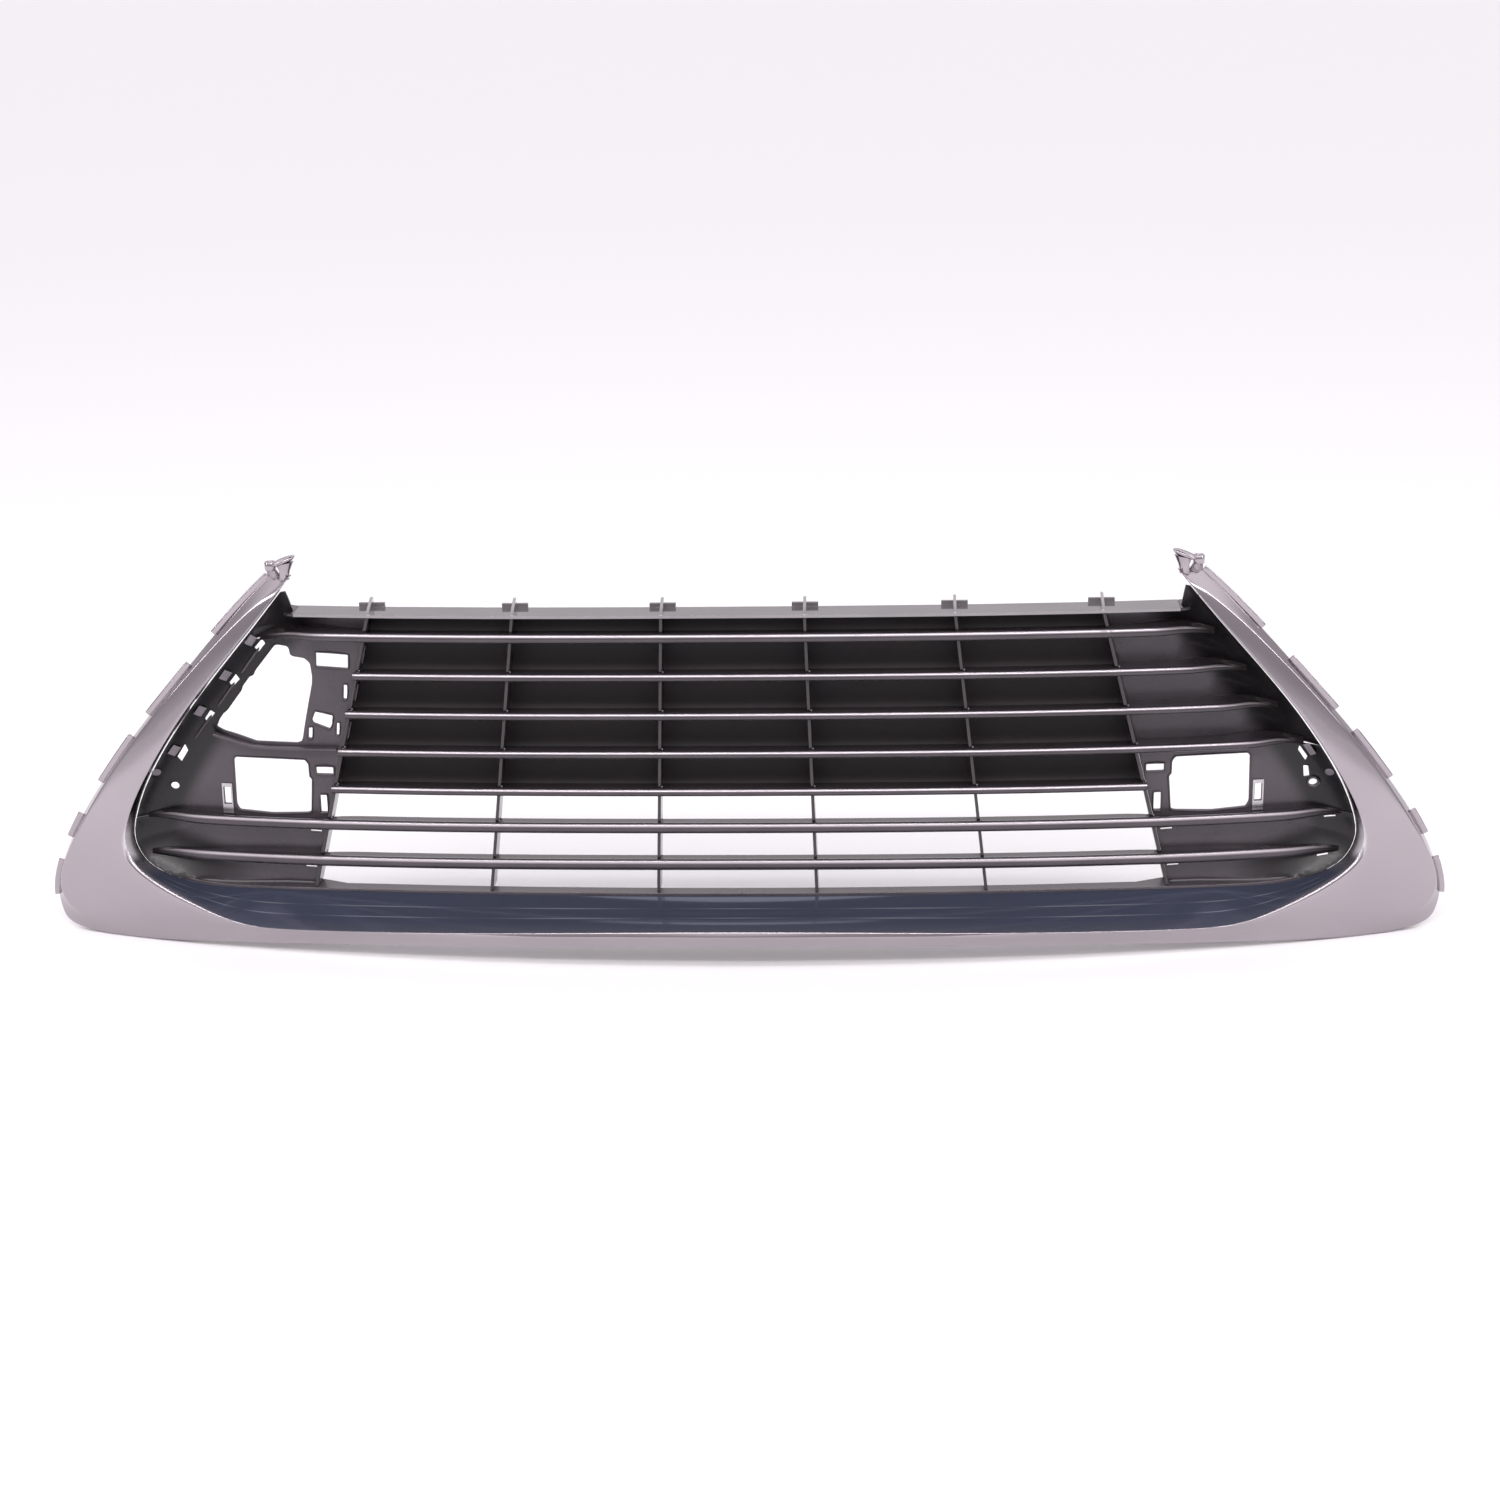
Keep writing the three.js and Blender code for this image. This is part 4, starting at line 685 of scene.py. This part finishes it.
def bottom_at(x):
    ax = abs(x)
    for i in range(26, N_ST - 1):
        a, b = RB[i], RB[i + 1]
        if a[0] >= ax >= b[0]:
            return a[2] + (b[2] - a[2]) * (a[0] - ax) / (a[0] - b[0]) + BOTTOM_RAIL_H - 0.4
    return RB[-1][2] + BOTTOM_RAIL_H - 0.4


def panel_edge(z):
    return (rib_x(2, z) + RIB_THICK[2] / 2 + 0.4, z)


def fine_edge(pts, step, closed=True):
    out = []
    n = len(pts)
    for i in range(n if closed else n - 1):
        a, b = np.array(pts[i], float), np.array(pts[(i + 1) % n], float)
        k = max(1, int(round(np.linalg.norm(b - a) / step)))
        out += [tuple(a + (b - a) * t / k) for t in range(k)]
    return out


def inside(pt, poly):
    x, z = pt
    c = False
    n = len(poly)
    for i in range(n):
        x1, z1 = poly[i]
        x2, z2 = poly[(i + 1) % n]
        if (z1 > z) != (z2 > z) and x < (x2 - x1) * (z - z1) / (z2 - z1) + x1:
            c = not c
    return c


def near_line(pt, poly, d):
    p = np.array(pt)
    a = np.array(poly)
    b = np.roll(a, -1, 0)
    ab = b - a
    t = np.clip(((p - a) * ab).sum(1) / np.maximum((ab ** 2).sum(1), 1e-9), 0, 1)
    return np.min(np.linalg.norm(a + ab * t[:, None] - p, axis=1)) < d


def grown(poly, k):
    cx = sum(p[0] for p in poly) / len(poly)
    cz = sum(p[1] for p in poly) / len(poly)
    return [(cx + (p[0] - cx) * k, cz + (p[1] - cz) * k) for p in poly]


def round_corners(poly, r):
    """Rounds the corners of a closed outline with radius about r."""
    out = []
    n = len(poly)
    for i in range(n):
        p, a, b = (np.array(poly[j % n], float) for j in (i, i - 1, i + 1))
        u, w = a - p, b - p
        lu, lw = np.linalg.norm(u), np.linalg.norm(w)
        d = min(r, 0.42 * lu, 0.42 * lw)
        p0, p1 = p + u / lu * d, p + w / lw * d
        for t in (0, 0.33, 0.67, 1):
            out.append(tuple(p0 * (1 - t) ** 2 + p * 2 * t * (1 - t) + p1 * t * t))
    return out


def panel(name, side, outline, holes, depth, nodes, slot="satin_panel", step=3.2, lift=0.0, thick=PANEL_SKIN, lip=True):
    outline = [(side * x, z) for x, z in outline]
    outer_e = fine_edge(outline, step)
    hole_e = [fine_edge(h, 2.4) for h in holes]
    verts, edges = [], []
    for poly in [outer_e] + hole_e:
        k = len(verts)
        verts += [Vector(p) for p in poly]
        edges += [(k + i, k + (i + 1) % len(poly)) for i in range(len(poly))]
    xs = [p[0] for p in outline]
    zs = [p[1] for p in outline]
    for gx in np.arange(min(xs), max(xs), step):
        for row, gz in enumerate(np.arange(min(zs), max(zs), step * 0.87)):
            q = (gx + (step / 2 if row % 2 else 0), gz)
            if not inside(q, outline) or near_line(q, outer_e, step * 0.55):
                continue
            if any(inside(q, h) or near_line(q, h, step * 0.5) for h in hole_e):
                continue
            verts.append(Vector(q))
    res = delaunay_2d_cdt(verts, edges, [], 2, 1e-5, True)
    pv, pf = res[0], [f for f in res[2]]
    # faces that fell inside a hole or outside the outline are left out
    keep = []
    for f in pf:
        c = (sum(pv[i].x for i in f) / len(f), sum(pv[i].y for i in f) / len(f))
        if inside(c, outline) and not any(inside(c, h) for h in holes):
            keep.append(f)
    used = sorted({i for f in keep for i in f})
    idx = {i: n for n, i in enumerate(used)}
    flat = [(pv[i].x, pv[i].y) for i in used]
    keep = [tuple(idx[i] for i in f) for f in keep]
    n = len(flat)
    front = [(x, side_front(x, z, depth) - lift, z) for x, z in flat]
    back = [(x, y + thick, z) for x, y, z in front]
    faces = [f for f in keep] + [tuple(n + i for i in reversed(f)) for f in keep]
    count = {}
    for f in keep:
        for i in range(len(f)):
            e = (f[i], f[(i + 1) % len(f)])
            count[e] = 1
    for (a, b) in list(count):
        if (b, a) not in count:
            faces.append((b, a, n + a, n + b))
    # painted shade mask (the "wall" attribute): 1 near the rim, where the wall turns inward and lies in shade, fading
    # out further in
    wall = []
    for x, z in flat:
        i, _, d = rim_near(x, z)
        share = 1.0 if i <= 27 else 0.0 if i >= 33 else (33 - i) / 6.0
        w = min(1.0, max(0.0, (WALL_EDGE + 7 - d) / 14.0)) * share
        wall.append(w * w * (3 - 2 * w))
    return piece(name, front + back, faces, slot, nodes, bevel=0.32 if lip else 0.0, angle=60, segments=2, smooth=45, attr=wall + wall)


def disc(x, z, r, n=28):
    return [(x + r * math.cos(2 * math.pi * k / n), z + r * math.sin(2 * math.pi * k / n)) for k in range(n)]


def mirrored(pts):
    return [(-x, z) for x, z in pts][::-1]


def rect(x, z, w, h, turn=0.0):
    c, s = math.cos(turn), math.sin(turn)
    return [(x + u * c - v * s, z + u * s + v * c) for u, v in ((-w / 2, -h / 2), (w / 2, -h / 2), (w / 2, h / 2), (-w / 2, h / 2))]


def upper_outline(lo):
    return [panel_edge(lo)] + rim_between(145.2, lo)[::-1] + [(353.0, 144.6), (352.4, 124.0), (352.4, 119.8), panel_edge(119.8)]


def window_outline(hi, lo):
    return [panel_edge(lo)] + rim_between(hi, lo)[::-1] + [panel_edge(hi)]


def lower_outline(hi):
    rim = [p for p in RIM if p[1] < hi - 0.8 and p[0] > rib_x(2, -107) + 4]
    x0 = rib_x(2, -105.6) + RIB_THICK[2] / 2 + 0.4
    return [(x0, bottom_at(x0) + 0.4)] + rim[::-1] + [rim_at(hi), panel_edge(hi)]


win = [round_corners(LOWER_WINDOW, 1.5), round_corners(SLOT_UPPER, 0.8), round_corners(SLOT_LOWER, 0.8), round_corners(SLOT_CLIP, 0.8), disc(*ROUND_HOLE)]
split4, split1, split6 = BAR_Z[3] - FIN_HALF - 0.4, BAR_Z[0] - FIN_HALF - 0.4, BAR_Z[5]


def thin(side):
    return [rect(side * x, z, 9.4, 1.7, side * 0.03) for x, z in UNDER_SLOTS]


panel("wall_right_upper", 1, upper_outline(split4 + 0.5), [], SIDE_Y, ["side_panel_right_upper"])
panel("wall_right_window", 1, window_outline(split4, split6 + 0.3), win + [round_corners(RAKED_SLOT_RIGHT, 0.8), round_corners(STUB_SLOT_RIGHT, 0.8)], WINDOW_Y, ["side_panel_right_window"])
panel("wall_right_lower", 1, lower_outline(split6 - 0.3), thin(1) + [rect(478.5, -56.6, 9.0, 1.8, 0.2), rect(473.0, -87.2, 9.0, 1.8, 0.2)], WINDOW_Y, ["side_panel_right_lower"])
panel("wall_left_upper", -1, upper_outline(split1 + 0.5), [], SIDE_Y, ["side_panel_left_upper"])
panel("wall_left_window", -1, window_outline(split1, split6 + 0.3), [mirrored(w) for w in win] + [round_corners(BIG_OPENING, 1.4)] + [round_corners(h, 0.8) for h in LEFT_SLOTS[:5]] + [round_corners(grown(h, 1.2), 0.3) for h in LEFT_SLOTS[5:]], WINDOW_Y, ["side_panel_left_window"])
panel("wall_left_lower", -1, lower_outline(split6 - 0.3), thin(-1), WINDOW_Y, ["side_panel_left_lower"])

# ---------------------------------------------------------------- bottom rail
rr = []


def rail_ring(i, side):
    p, (nx, nz) = RB[i], inw[i]
    grow = min(1.0, max(0.0, (i - 24) / 3.0))
    h = 0.35 + (BOTTOM_RAIL_H - 0.75) * grow
    y0 = p[1] + 0.4
    t = min(1.0, max(0.0, (abs(p[0]) - rib_x(2, p[2])) / 8.0))
    y1 = min(bar_front(p[0], p[2]) + 23, y0 + 13 + 17 * t, 45.0)
    prof = [(-0.4, y0 + 0.3), (-0.1, y0), (h - 0.35, y0), (h, y0 + 0.35), (h, y1 - 0.35), (h - 0.35, y1), (-0.4, y1)]
    return [(side * (p[0] + nx * o), y, p[2] + nz * o) for o, y in prof]


for i in range(24, N_ST):
    rr.append(rail_ring(i, 1))
for i in range(N_ST - 2, 23, -1):
    rr.append(rail_ring(i, -1))
v, f = loft(rr)
piece("lower_rail", v, f, "satin_panel", ["bottom_rail"], smooth=40)


# ---------------------------------------------------------------- small features of the moulding
def tube(name, pts, w, h, slot, taper=True):
    """A rounded bead along points (mm); w across, h deep."""
    p = np.array(pts, float)
    t = unit(np.gradient(p, axis=0))
    n = np.array([0, -1.0, 0])
    rr = []
    for i in range(len(p)):
        a = unit(np.cross(t[i], n))
        k = 0.35 if taper and i in (0, len(p) - 1) else 1.0
        rr.append([tuple(p[i] + a * (w / 2 * k * math.cos(q)) + n * (h * k * math.sin(q))) for q in [2 * math.pi * j / 10 for j in range(10)]])
    v, f = loft(rr)
    return piece(name, v, f, slot, smooth=60)


def frame_round(name, side, outline, depth, width=1.5, lift=1.7, slot="satin_panel"):
    """A raised moulded frame around a slot."""
    o = round_corners([(side * x, z) for x, z in outline], 0.8)
    cx = sum(p[0] for p in o) / len(o)
    cz = sum(p[1] for p in o) / len(o)
    a = fine_edge(o, 2.0)
    ring = []
    for x, z in a:
        d = np.array([x - cx, z - cz])
        d = d / np.linalg.norm(d)
        y = side_front(x, z, depth)
        prof = [(0.25, 0.5), (0.25, -lift + 0.3), (0.55, -lift), (width - 0.3, -lift), (width, -lift + 0.3), (width, 0.5)]
        ring.append([(x + d[0] * q, y + r, z + d[1] * q) for q, r in prof])
    n = len(ring[0])
    m = len(ring)
    v = [p for r in ring for p in r]
    f = []
    for i in range(m):
        for j in range(n):
            k = (i + 1) % m
            f.append((i * n + j, i * n + (j + 1) % n, k * n + (j + 1) % n, k * n + j))
    return piece(name, v, f, slot, smooth=40)


def boss(name, x, z, r, depth, height=0.8, slot="black_frame", front=None):
    """A low round pad with a soft edge."""
    prof = [(0.0, -height), (r * 0.72, -height), (r * 0.93, -height * 0.8), (r, -height * 0.35), (r, 0.5), (0.0, 0.5)]
    y0 = front if front is not None else side_front(x, z, depth)
    n = 24
    v = [(x, y0 - height, z)]
    for q, h in prof[1:5]:
        for k in range(n):
            a = 2 * math.pi * k / n
            v.append((x + q * math.cos(a), (y0 if front is not None else side_front(x + q * math.cos(a), z + q * math.sin(a), depth)) + h, z + q * math.sin(a)))
    v.append((x, y0 + 0.5, z))
    f = [(0, 1 + k, 1 + (k + 1) % n) for k in range(n)]
    for j in range(3):
        for k in range(n):
            a, b = 1 + j * n + k, 1 + j * n + (k + 1) % n
            f.append((a, a + n, b + n, b))
    f += [(len(v) - 1, 1 + 3 * n + (k + 1) % n, 1 + 3 * n + k) for k in range(n)]
    return piece(name, v, f, slot, smooth=50)


for side, word in ((1, "right"), (-1, "left")):
    frame_round(f"slot_frame_upper_{word}", side, SLOT_UPPER, WINDOW_Y)
    frame_round(f"slot_frame_lower_{word}", side, SLOT_LOWER, WINDOW_Y, width=1.2)
    frame_round(f"window_frame_{word}", side, LOWER_WINDOW, WINDOW_Y, width=1.3, lift=1.0)
    boss(f"wall_pad_{word}", side * 474.5, -15.5 if side > 0 else -11.5, 3.3, WINDOW_Y, 0.7, "tongue_plastic")
for i, h in enumerate(LEFT_SLOTS[:5]):
    frame_round(f"slot_frame_left_{i + 1}", -1, [(-x, z) for x, z in h][::-1], WINDOW_Y, width=1.1 if i else 1.6, lift=1.2)
# ring boss around the round hole on the right
n = 32
v = []
cx, cz, r0h = ROUND_HOLE
for k in range(n):
    a = 2 * math.pi * k / n
    for q, h in ((r0h + 0.15, 0.6), (r0h + 0.15, -1.9), (r0h + 0.5, -2.2), (r0h + 1.3, -2.2), (r0h + 1.7, -1.8), (r0h + 1.9, 0.6)):
        x, z = cx + q * math.cos(a), cz + q * math.sin(a)
        v.append((x, side_front(x, z, WINDOW_Y) + h, z))
f = [(k * 6 + j, k * 6 + (j + 1) % 6, ((k + 1) % n) * 6 + (j + 1) % 6, ((k + 1) % n) * 6 + j) for k in range(n) for j in range(6)]
piece("round_hole_collar", v, f, "satin_bar", smooth=50)

# the top rail runs on to the side walls
for side, word in ((1, "right"), (-1, "left")):
    rr = [[(side * x, y0, z0), (side * x, y0, z1), (side * x, y1, z1), (side * x, y1, z0)]
          for x, y0, y1, z0, z1 in ((351.2, 16.6, 43.2, 120.7, 122.9), (356.0, 18.0, 43.4, 120.7, 123.4), (362.0, 22.0, 43.6, 120.8, 125.0), (368.0, 28.0, 43.8, 121.0, 127.5))]
    v, f = loft(rr)
    piece(f"top_rail_end_{word}", v, f, "black_frame", bevel=0.4)

# light-coloured beads on the inner face of the left end rib, one in each of three rows: a painted highlight along the
# rib's edge
for k in range(3):
    zm = 0.5 * (BAR_Z[k] + BAR_Z[k + 1]) - 1.0
    pts = [(-(rib_x(2, z) - RIB_THICK[2] / 2 - 0.5), bar_front(rib_x(2, z), z) + 9.0, z) for z in np.linspace(zm - 7.5, zm + 7.5, 9)]
    tube(f"rib_edge_painted_highlight_left_{k + 1}", pts, 1.1, 1.0, "tongue_plastic")

# stepped strips beside the clip slots on the left wall
def on_wall(x, z, depth=WINDOW_Y, lift=0.2):
    return (x, side_front(x, z, depth) - lift, z)


for n_s, (dx, dz, w, hgt) in enumerate(((7.5, -6.0, 2.2, 1.6), (15.5, -12.0, 1.8, 1.3), (-6.0, 4.5, 1.5, 1.0))):
    a, b = (-386.5 + dx, 103.0 + dz), (-455.0 + dx, 14.0 + dz)
    cuts = [(0.02, 0.27), (0.36, 0.60), (0.68, 0.92)]
    for n_c, (t0c, t1c) in enumerate(cuts):
        pts = [on_wall(a[0] + (b[0] - a[0]) * t, a[1] + (b[1] - a[1]) * t) for t in np.linspace(t0c, t1c, 12)]
        if all(not inside((p[0], p[2]), BIG_OPENING) for p in pts):
            tube(f"wall_strip_{n_s + 1}_{n_c + 1}", pts, w, hgt, "satin_panel")

# small light-coloured domes at the foot of each rib on the upper face of every louvre, and at points on the side walls
dots = []
for k in range(3):
    for side in (-1, 1):
        for b in range(1, 6):
            z = BAR_Z[b] + BAR_HEIGHT[b] / 2 + 0.7
            dots.append((side * rib_x(k, z) + 2.1, bar_front(rib_x(k, z), z) + 0.4, z))
wall_px = [(384.0, 119.5), (392.0, 111.0), (399.5, 106.5), (419.0, 80.0), (425.0, 75.5), (444.5, 48.5), (451.0, 43.5), (467.0, 17.5), (474.5, 13.5)]
for x, z in wall_px:
    dots.append((x - 1.5, side_front(x - 1.5, z, SIDE_Y) - 0.3, z))
for x, z in ((-386.0, 118.0), (-393.0, 110.0), (-399.5, 104.5)):
    dots.append((x + 2, side_front(x + 2, z, SIDE_Y) - 0.3, z))
v, f = [], []
for cx, cy, cz in dots:
    for j in range(5):
        ph = math.pi * j / 4 - math.pi / 2
        for q in range(8):
            a = 2 * math.pi * q / 8
            v.append((cx + 0.75 * math.cos(ph) * math.cos(a) + (0.0001 if j in (0, 4) else 0) * q, cy + 0.6 * math.cos(ph) * math.sin(a), cz + 0.85 * math.sin(ph)))
    base = len(v) - 40
    for j in range(4):
        for q in range(8):
            f.append((base + j * 8 + q, base + j * 8 + (q + 1) % 8, base + (j + 1) * 8 + (q + 1) % 8, base + (j + 1) * 8 + q))
    f.append(tuple(base + q for q in range(7, -1, -1)))
    f.append(tuple(base + 32 + q for q in range(8)))
piece("rib_foot_light_dots", v, f, "tongue_plastic", smooth=80)

# ---------------------------------------------------------------- CAD nodes that keep their shape
for name, o in frame["nodes"].items():
    if o.hide_render:
        continue
    slot = next(s["material_slot"] for s in frame["record"]["subparts"] if s["node"] == name)
    o.data.materials.clear()
    # the top rail gets the lighter copy with painted light
    o.data.materials.append(RAIL_LIT_GLOSS if name == "top_rail" else SLOTS[slot])
    w = o.modifiers.new("weld", "WELD")
    w.merge_threshold = 2e-6
    d = o.modifiers.new("flat", "DECIMATE")
    d.decimate_type = "DISSOLVE"
    d.angle_limit = math.radians(1.0)
    bv = o.modifiers.new("edge", "BEVEL")
    bv.width = 0.00028 if slot in ("clip_steel", "tongue_plastic") else 0.00045
    bv.segments = 2
    bv.limit_method = "ANGLE"
    bv.angle_limit = math.radians(35)
    wn = o.modifiers.new("normals", "WEIGHTED_NORMAL")
    wn.keep_sharp = False
    wn.weight = 80

# ---------------------------------------------------------------- floor, light, camera
def stage_mesh(name, pts, faces, mat):
    me = bpy.data.meshes.new(name)
    me.from_pydata(pts, [], faces)
    o = bpy.data.objects.new(name, me)
    o.data.materials.append(mat)
    bpy.context.scene.collection.objects.link(o)
    o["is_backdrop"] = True
    return o


fm = bpy.data.materials.new("stage_floor")
fm.use_nodes = True
fb = fm.node_tree.nodes["Principled BSDF"]
fb.inputs["Base Color"].default_value = (0.93, 0.925, 0.93, 1)
fb.inputs["Roughness"].default_value = 0.9
fb.inputs["Specular IOR Level"].default_value = 0.1
FLOOR = CAD_LO[2] - 0.0005
stage_mesh("floor", [(-30, -30, FLOOR), (30, -30, FLOOR), (30, 30, FLOOR), (-30, 30, FLOOR)], [(0, 1, 2, 3)], fm)

world = bpy.data.worlds.new("studio")
bpy.context.scene.world = world
world.use_nodes = True
wt = world.node_tree
wb = wt.nodes["Background"]
wb.inputs["Strength"].default_value = 1.0
tc = wt.nodes.new("ShaderNodeTexCoord")
sx = wt.nodes.new("ShaderNodeSeparateXYZ")
wt.links.new(tc.outputs["Generated"], sx.inputs[0])
wr = wt.nodes.new("ShaderNodeMapRange")
wr.inputs["From Min"].default_value = -1.0
wr.inputs["From Max"].default_value = 1.0
wt.links.new(sx.outputs["Z"], wr.inputs["Value"])
ramp = wt.nodes.new("ShaderNodeValToRGB")
wt.links.new(wr.outputs["Result"], ramp.inputs["Fac"])
wt.links.new(ramp.outputs["Color"], wb.inputs["Color"])
cr = ramp.color_ramp
cr.interpolation = "EASE"
cr.elements[0].position, cr.elements[0].color = 0.0, (0.9, 0.86, 0.89, 1)
cr.elements[1].position, cr.elements[1].color = 1.0, (0.12, 0.13, 0.17, 1)
for pos, col in ((0.49, (0.80, 0.76, 0.79, 1)), (0.545, (0.56, 0.53, 0.555, 1)), (0.64, (0.60, 0.57, 0.59, 1)), (0.74, (1.45, 1.39, 1.43, 1)), (0.90, (1.45, 1.39, 1.43, 1)), (0.955, (0.2, 0.21, 0.26, 1))):
    e = cr.elements.new(pos)
    e.color = col


def area(name, loc, target, sx, sy, power, colour=(1.0, 0.975, 0.985)):
    l = bpy.data.lights.new(name, "AREA")
    l.shape = "RECTANGLE"
    l.size, l.size_y, l.energy, l.color = sx, sy, power, colour
    o = bpy.data.objects.new(name, l)
    bpy.context.scene.collection.objects.link(o)
    o.location = loc
    o.rotation_mode = "QUATERNION"
    o.rotation_quaternion = (Vector(target) - Vector(loc)).to_track_quat("-Z", "Y")
    return o


area("strip_top", (0.0, -0.75, 2.0), (0.0, 0.0, 0.0), 2.6, 0.10, 10.0)
area("strip_front", (0.0, -2.0, 2.05), (0.0, 0.0, 0.0), 3.2, 0.15, 24.0)
area("strip_left", (-2.2, -0.6, 1.1), (0.0, 0.0, 0.0), 0.16, 1.6, 7.0)
area("strip_right", (2.2, -0.6, 1.1), (0.0, 0.0, 0.0), 0.16, 1.6, 7.0)

cam = bpy.data.cameras.new("camera")
co = bpy.data.objects.new("camera", cam)
bpy.context.scene.collection.objects.link(co)
cam.sensor_width = 36.0
cam.lens = 62.4
cam.clip_start, cam.clip_end = 0.05, 200.0
yaw, pitch, roll = 0.051375, 0.315335, -0.02008
fwd = Vector((-math.sin(yaw) * math.cos(pitch), math.cos(yaw) * math.cos(pitch), -math.sin(pitch)))
r0 = Vector((math.cos(yaw), math.sin(yaw), 0.0))
u0 = r0.cross(fwd)
c, s = math.cos(roll), math.sin(roll)
right = r0 * c + u0 * s
up = -r0 * s + u0 * c
mat = Matrix((right, up, -fwd)).transposed().to_4x4()
mat.translation = Vector(P((113.18, -1965.52, 655.0)))
co.matrix_world = mat
bpy.context.scene.camera = co
bpy.context.scene.view_settings.view_transform = "Standard"

bpy.context.view_layer.update()
lo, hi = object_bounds()
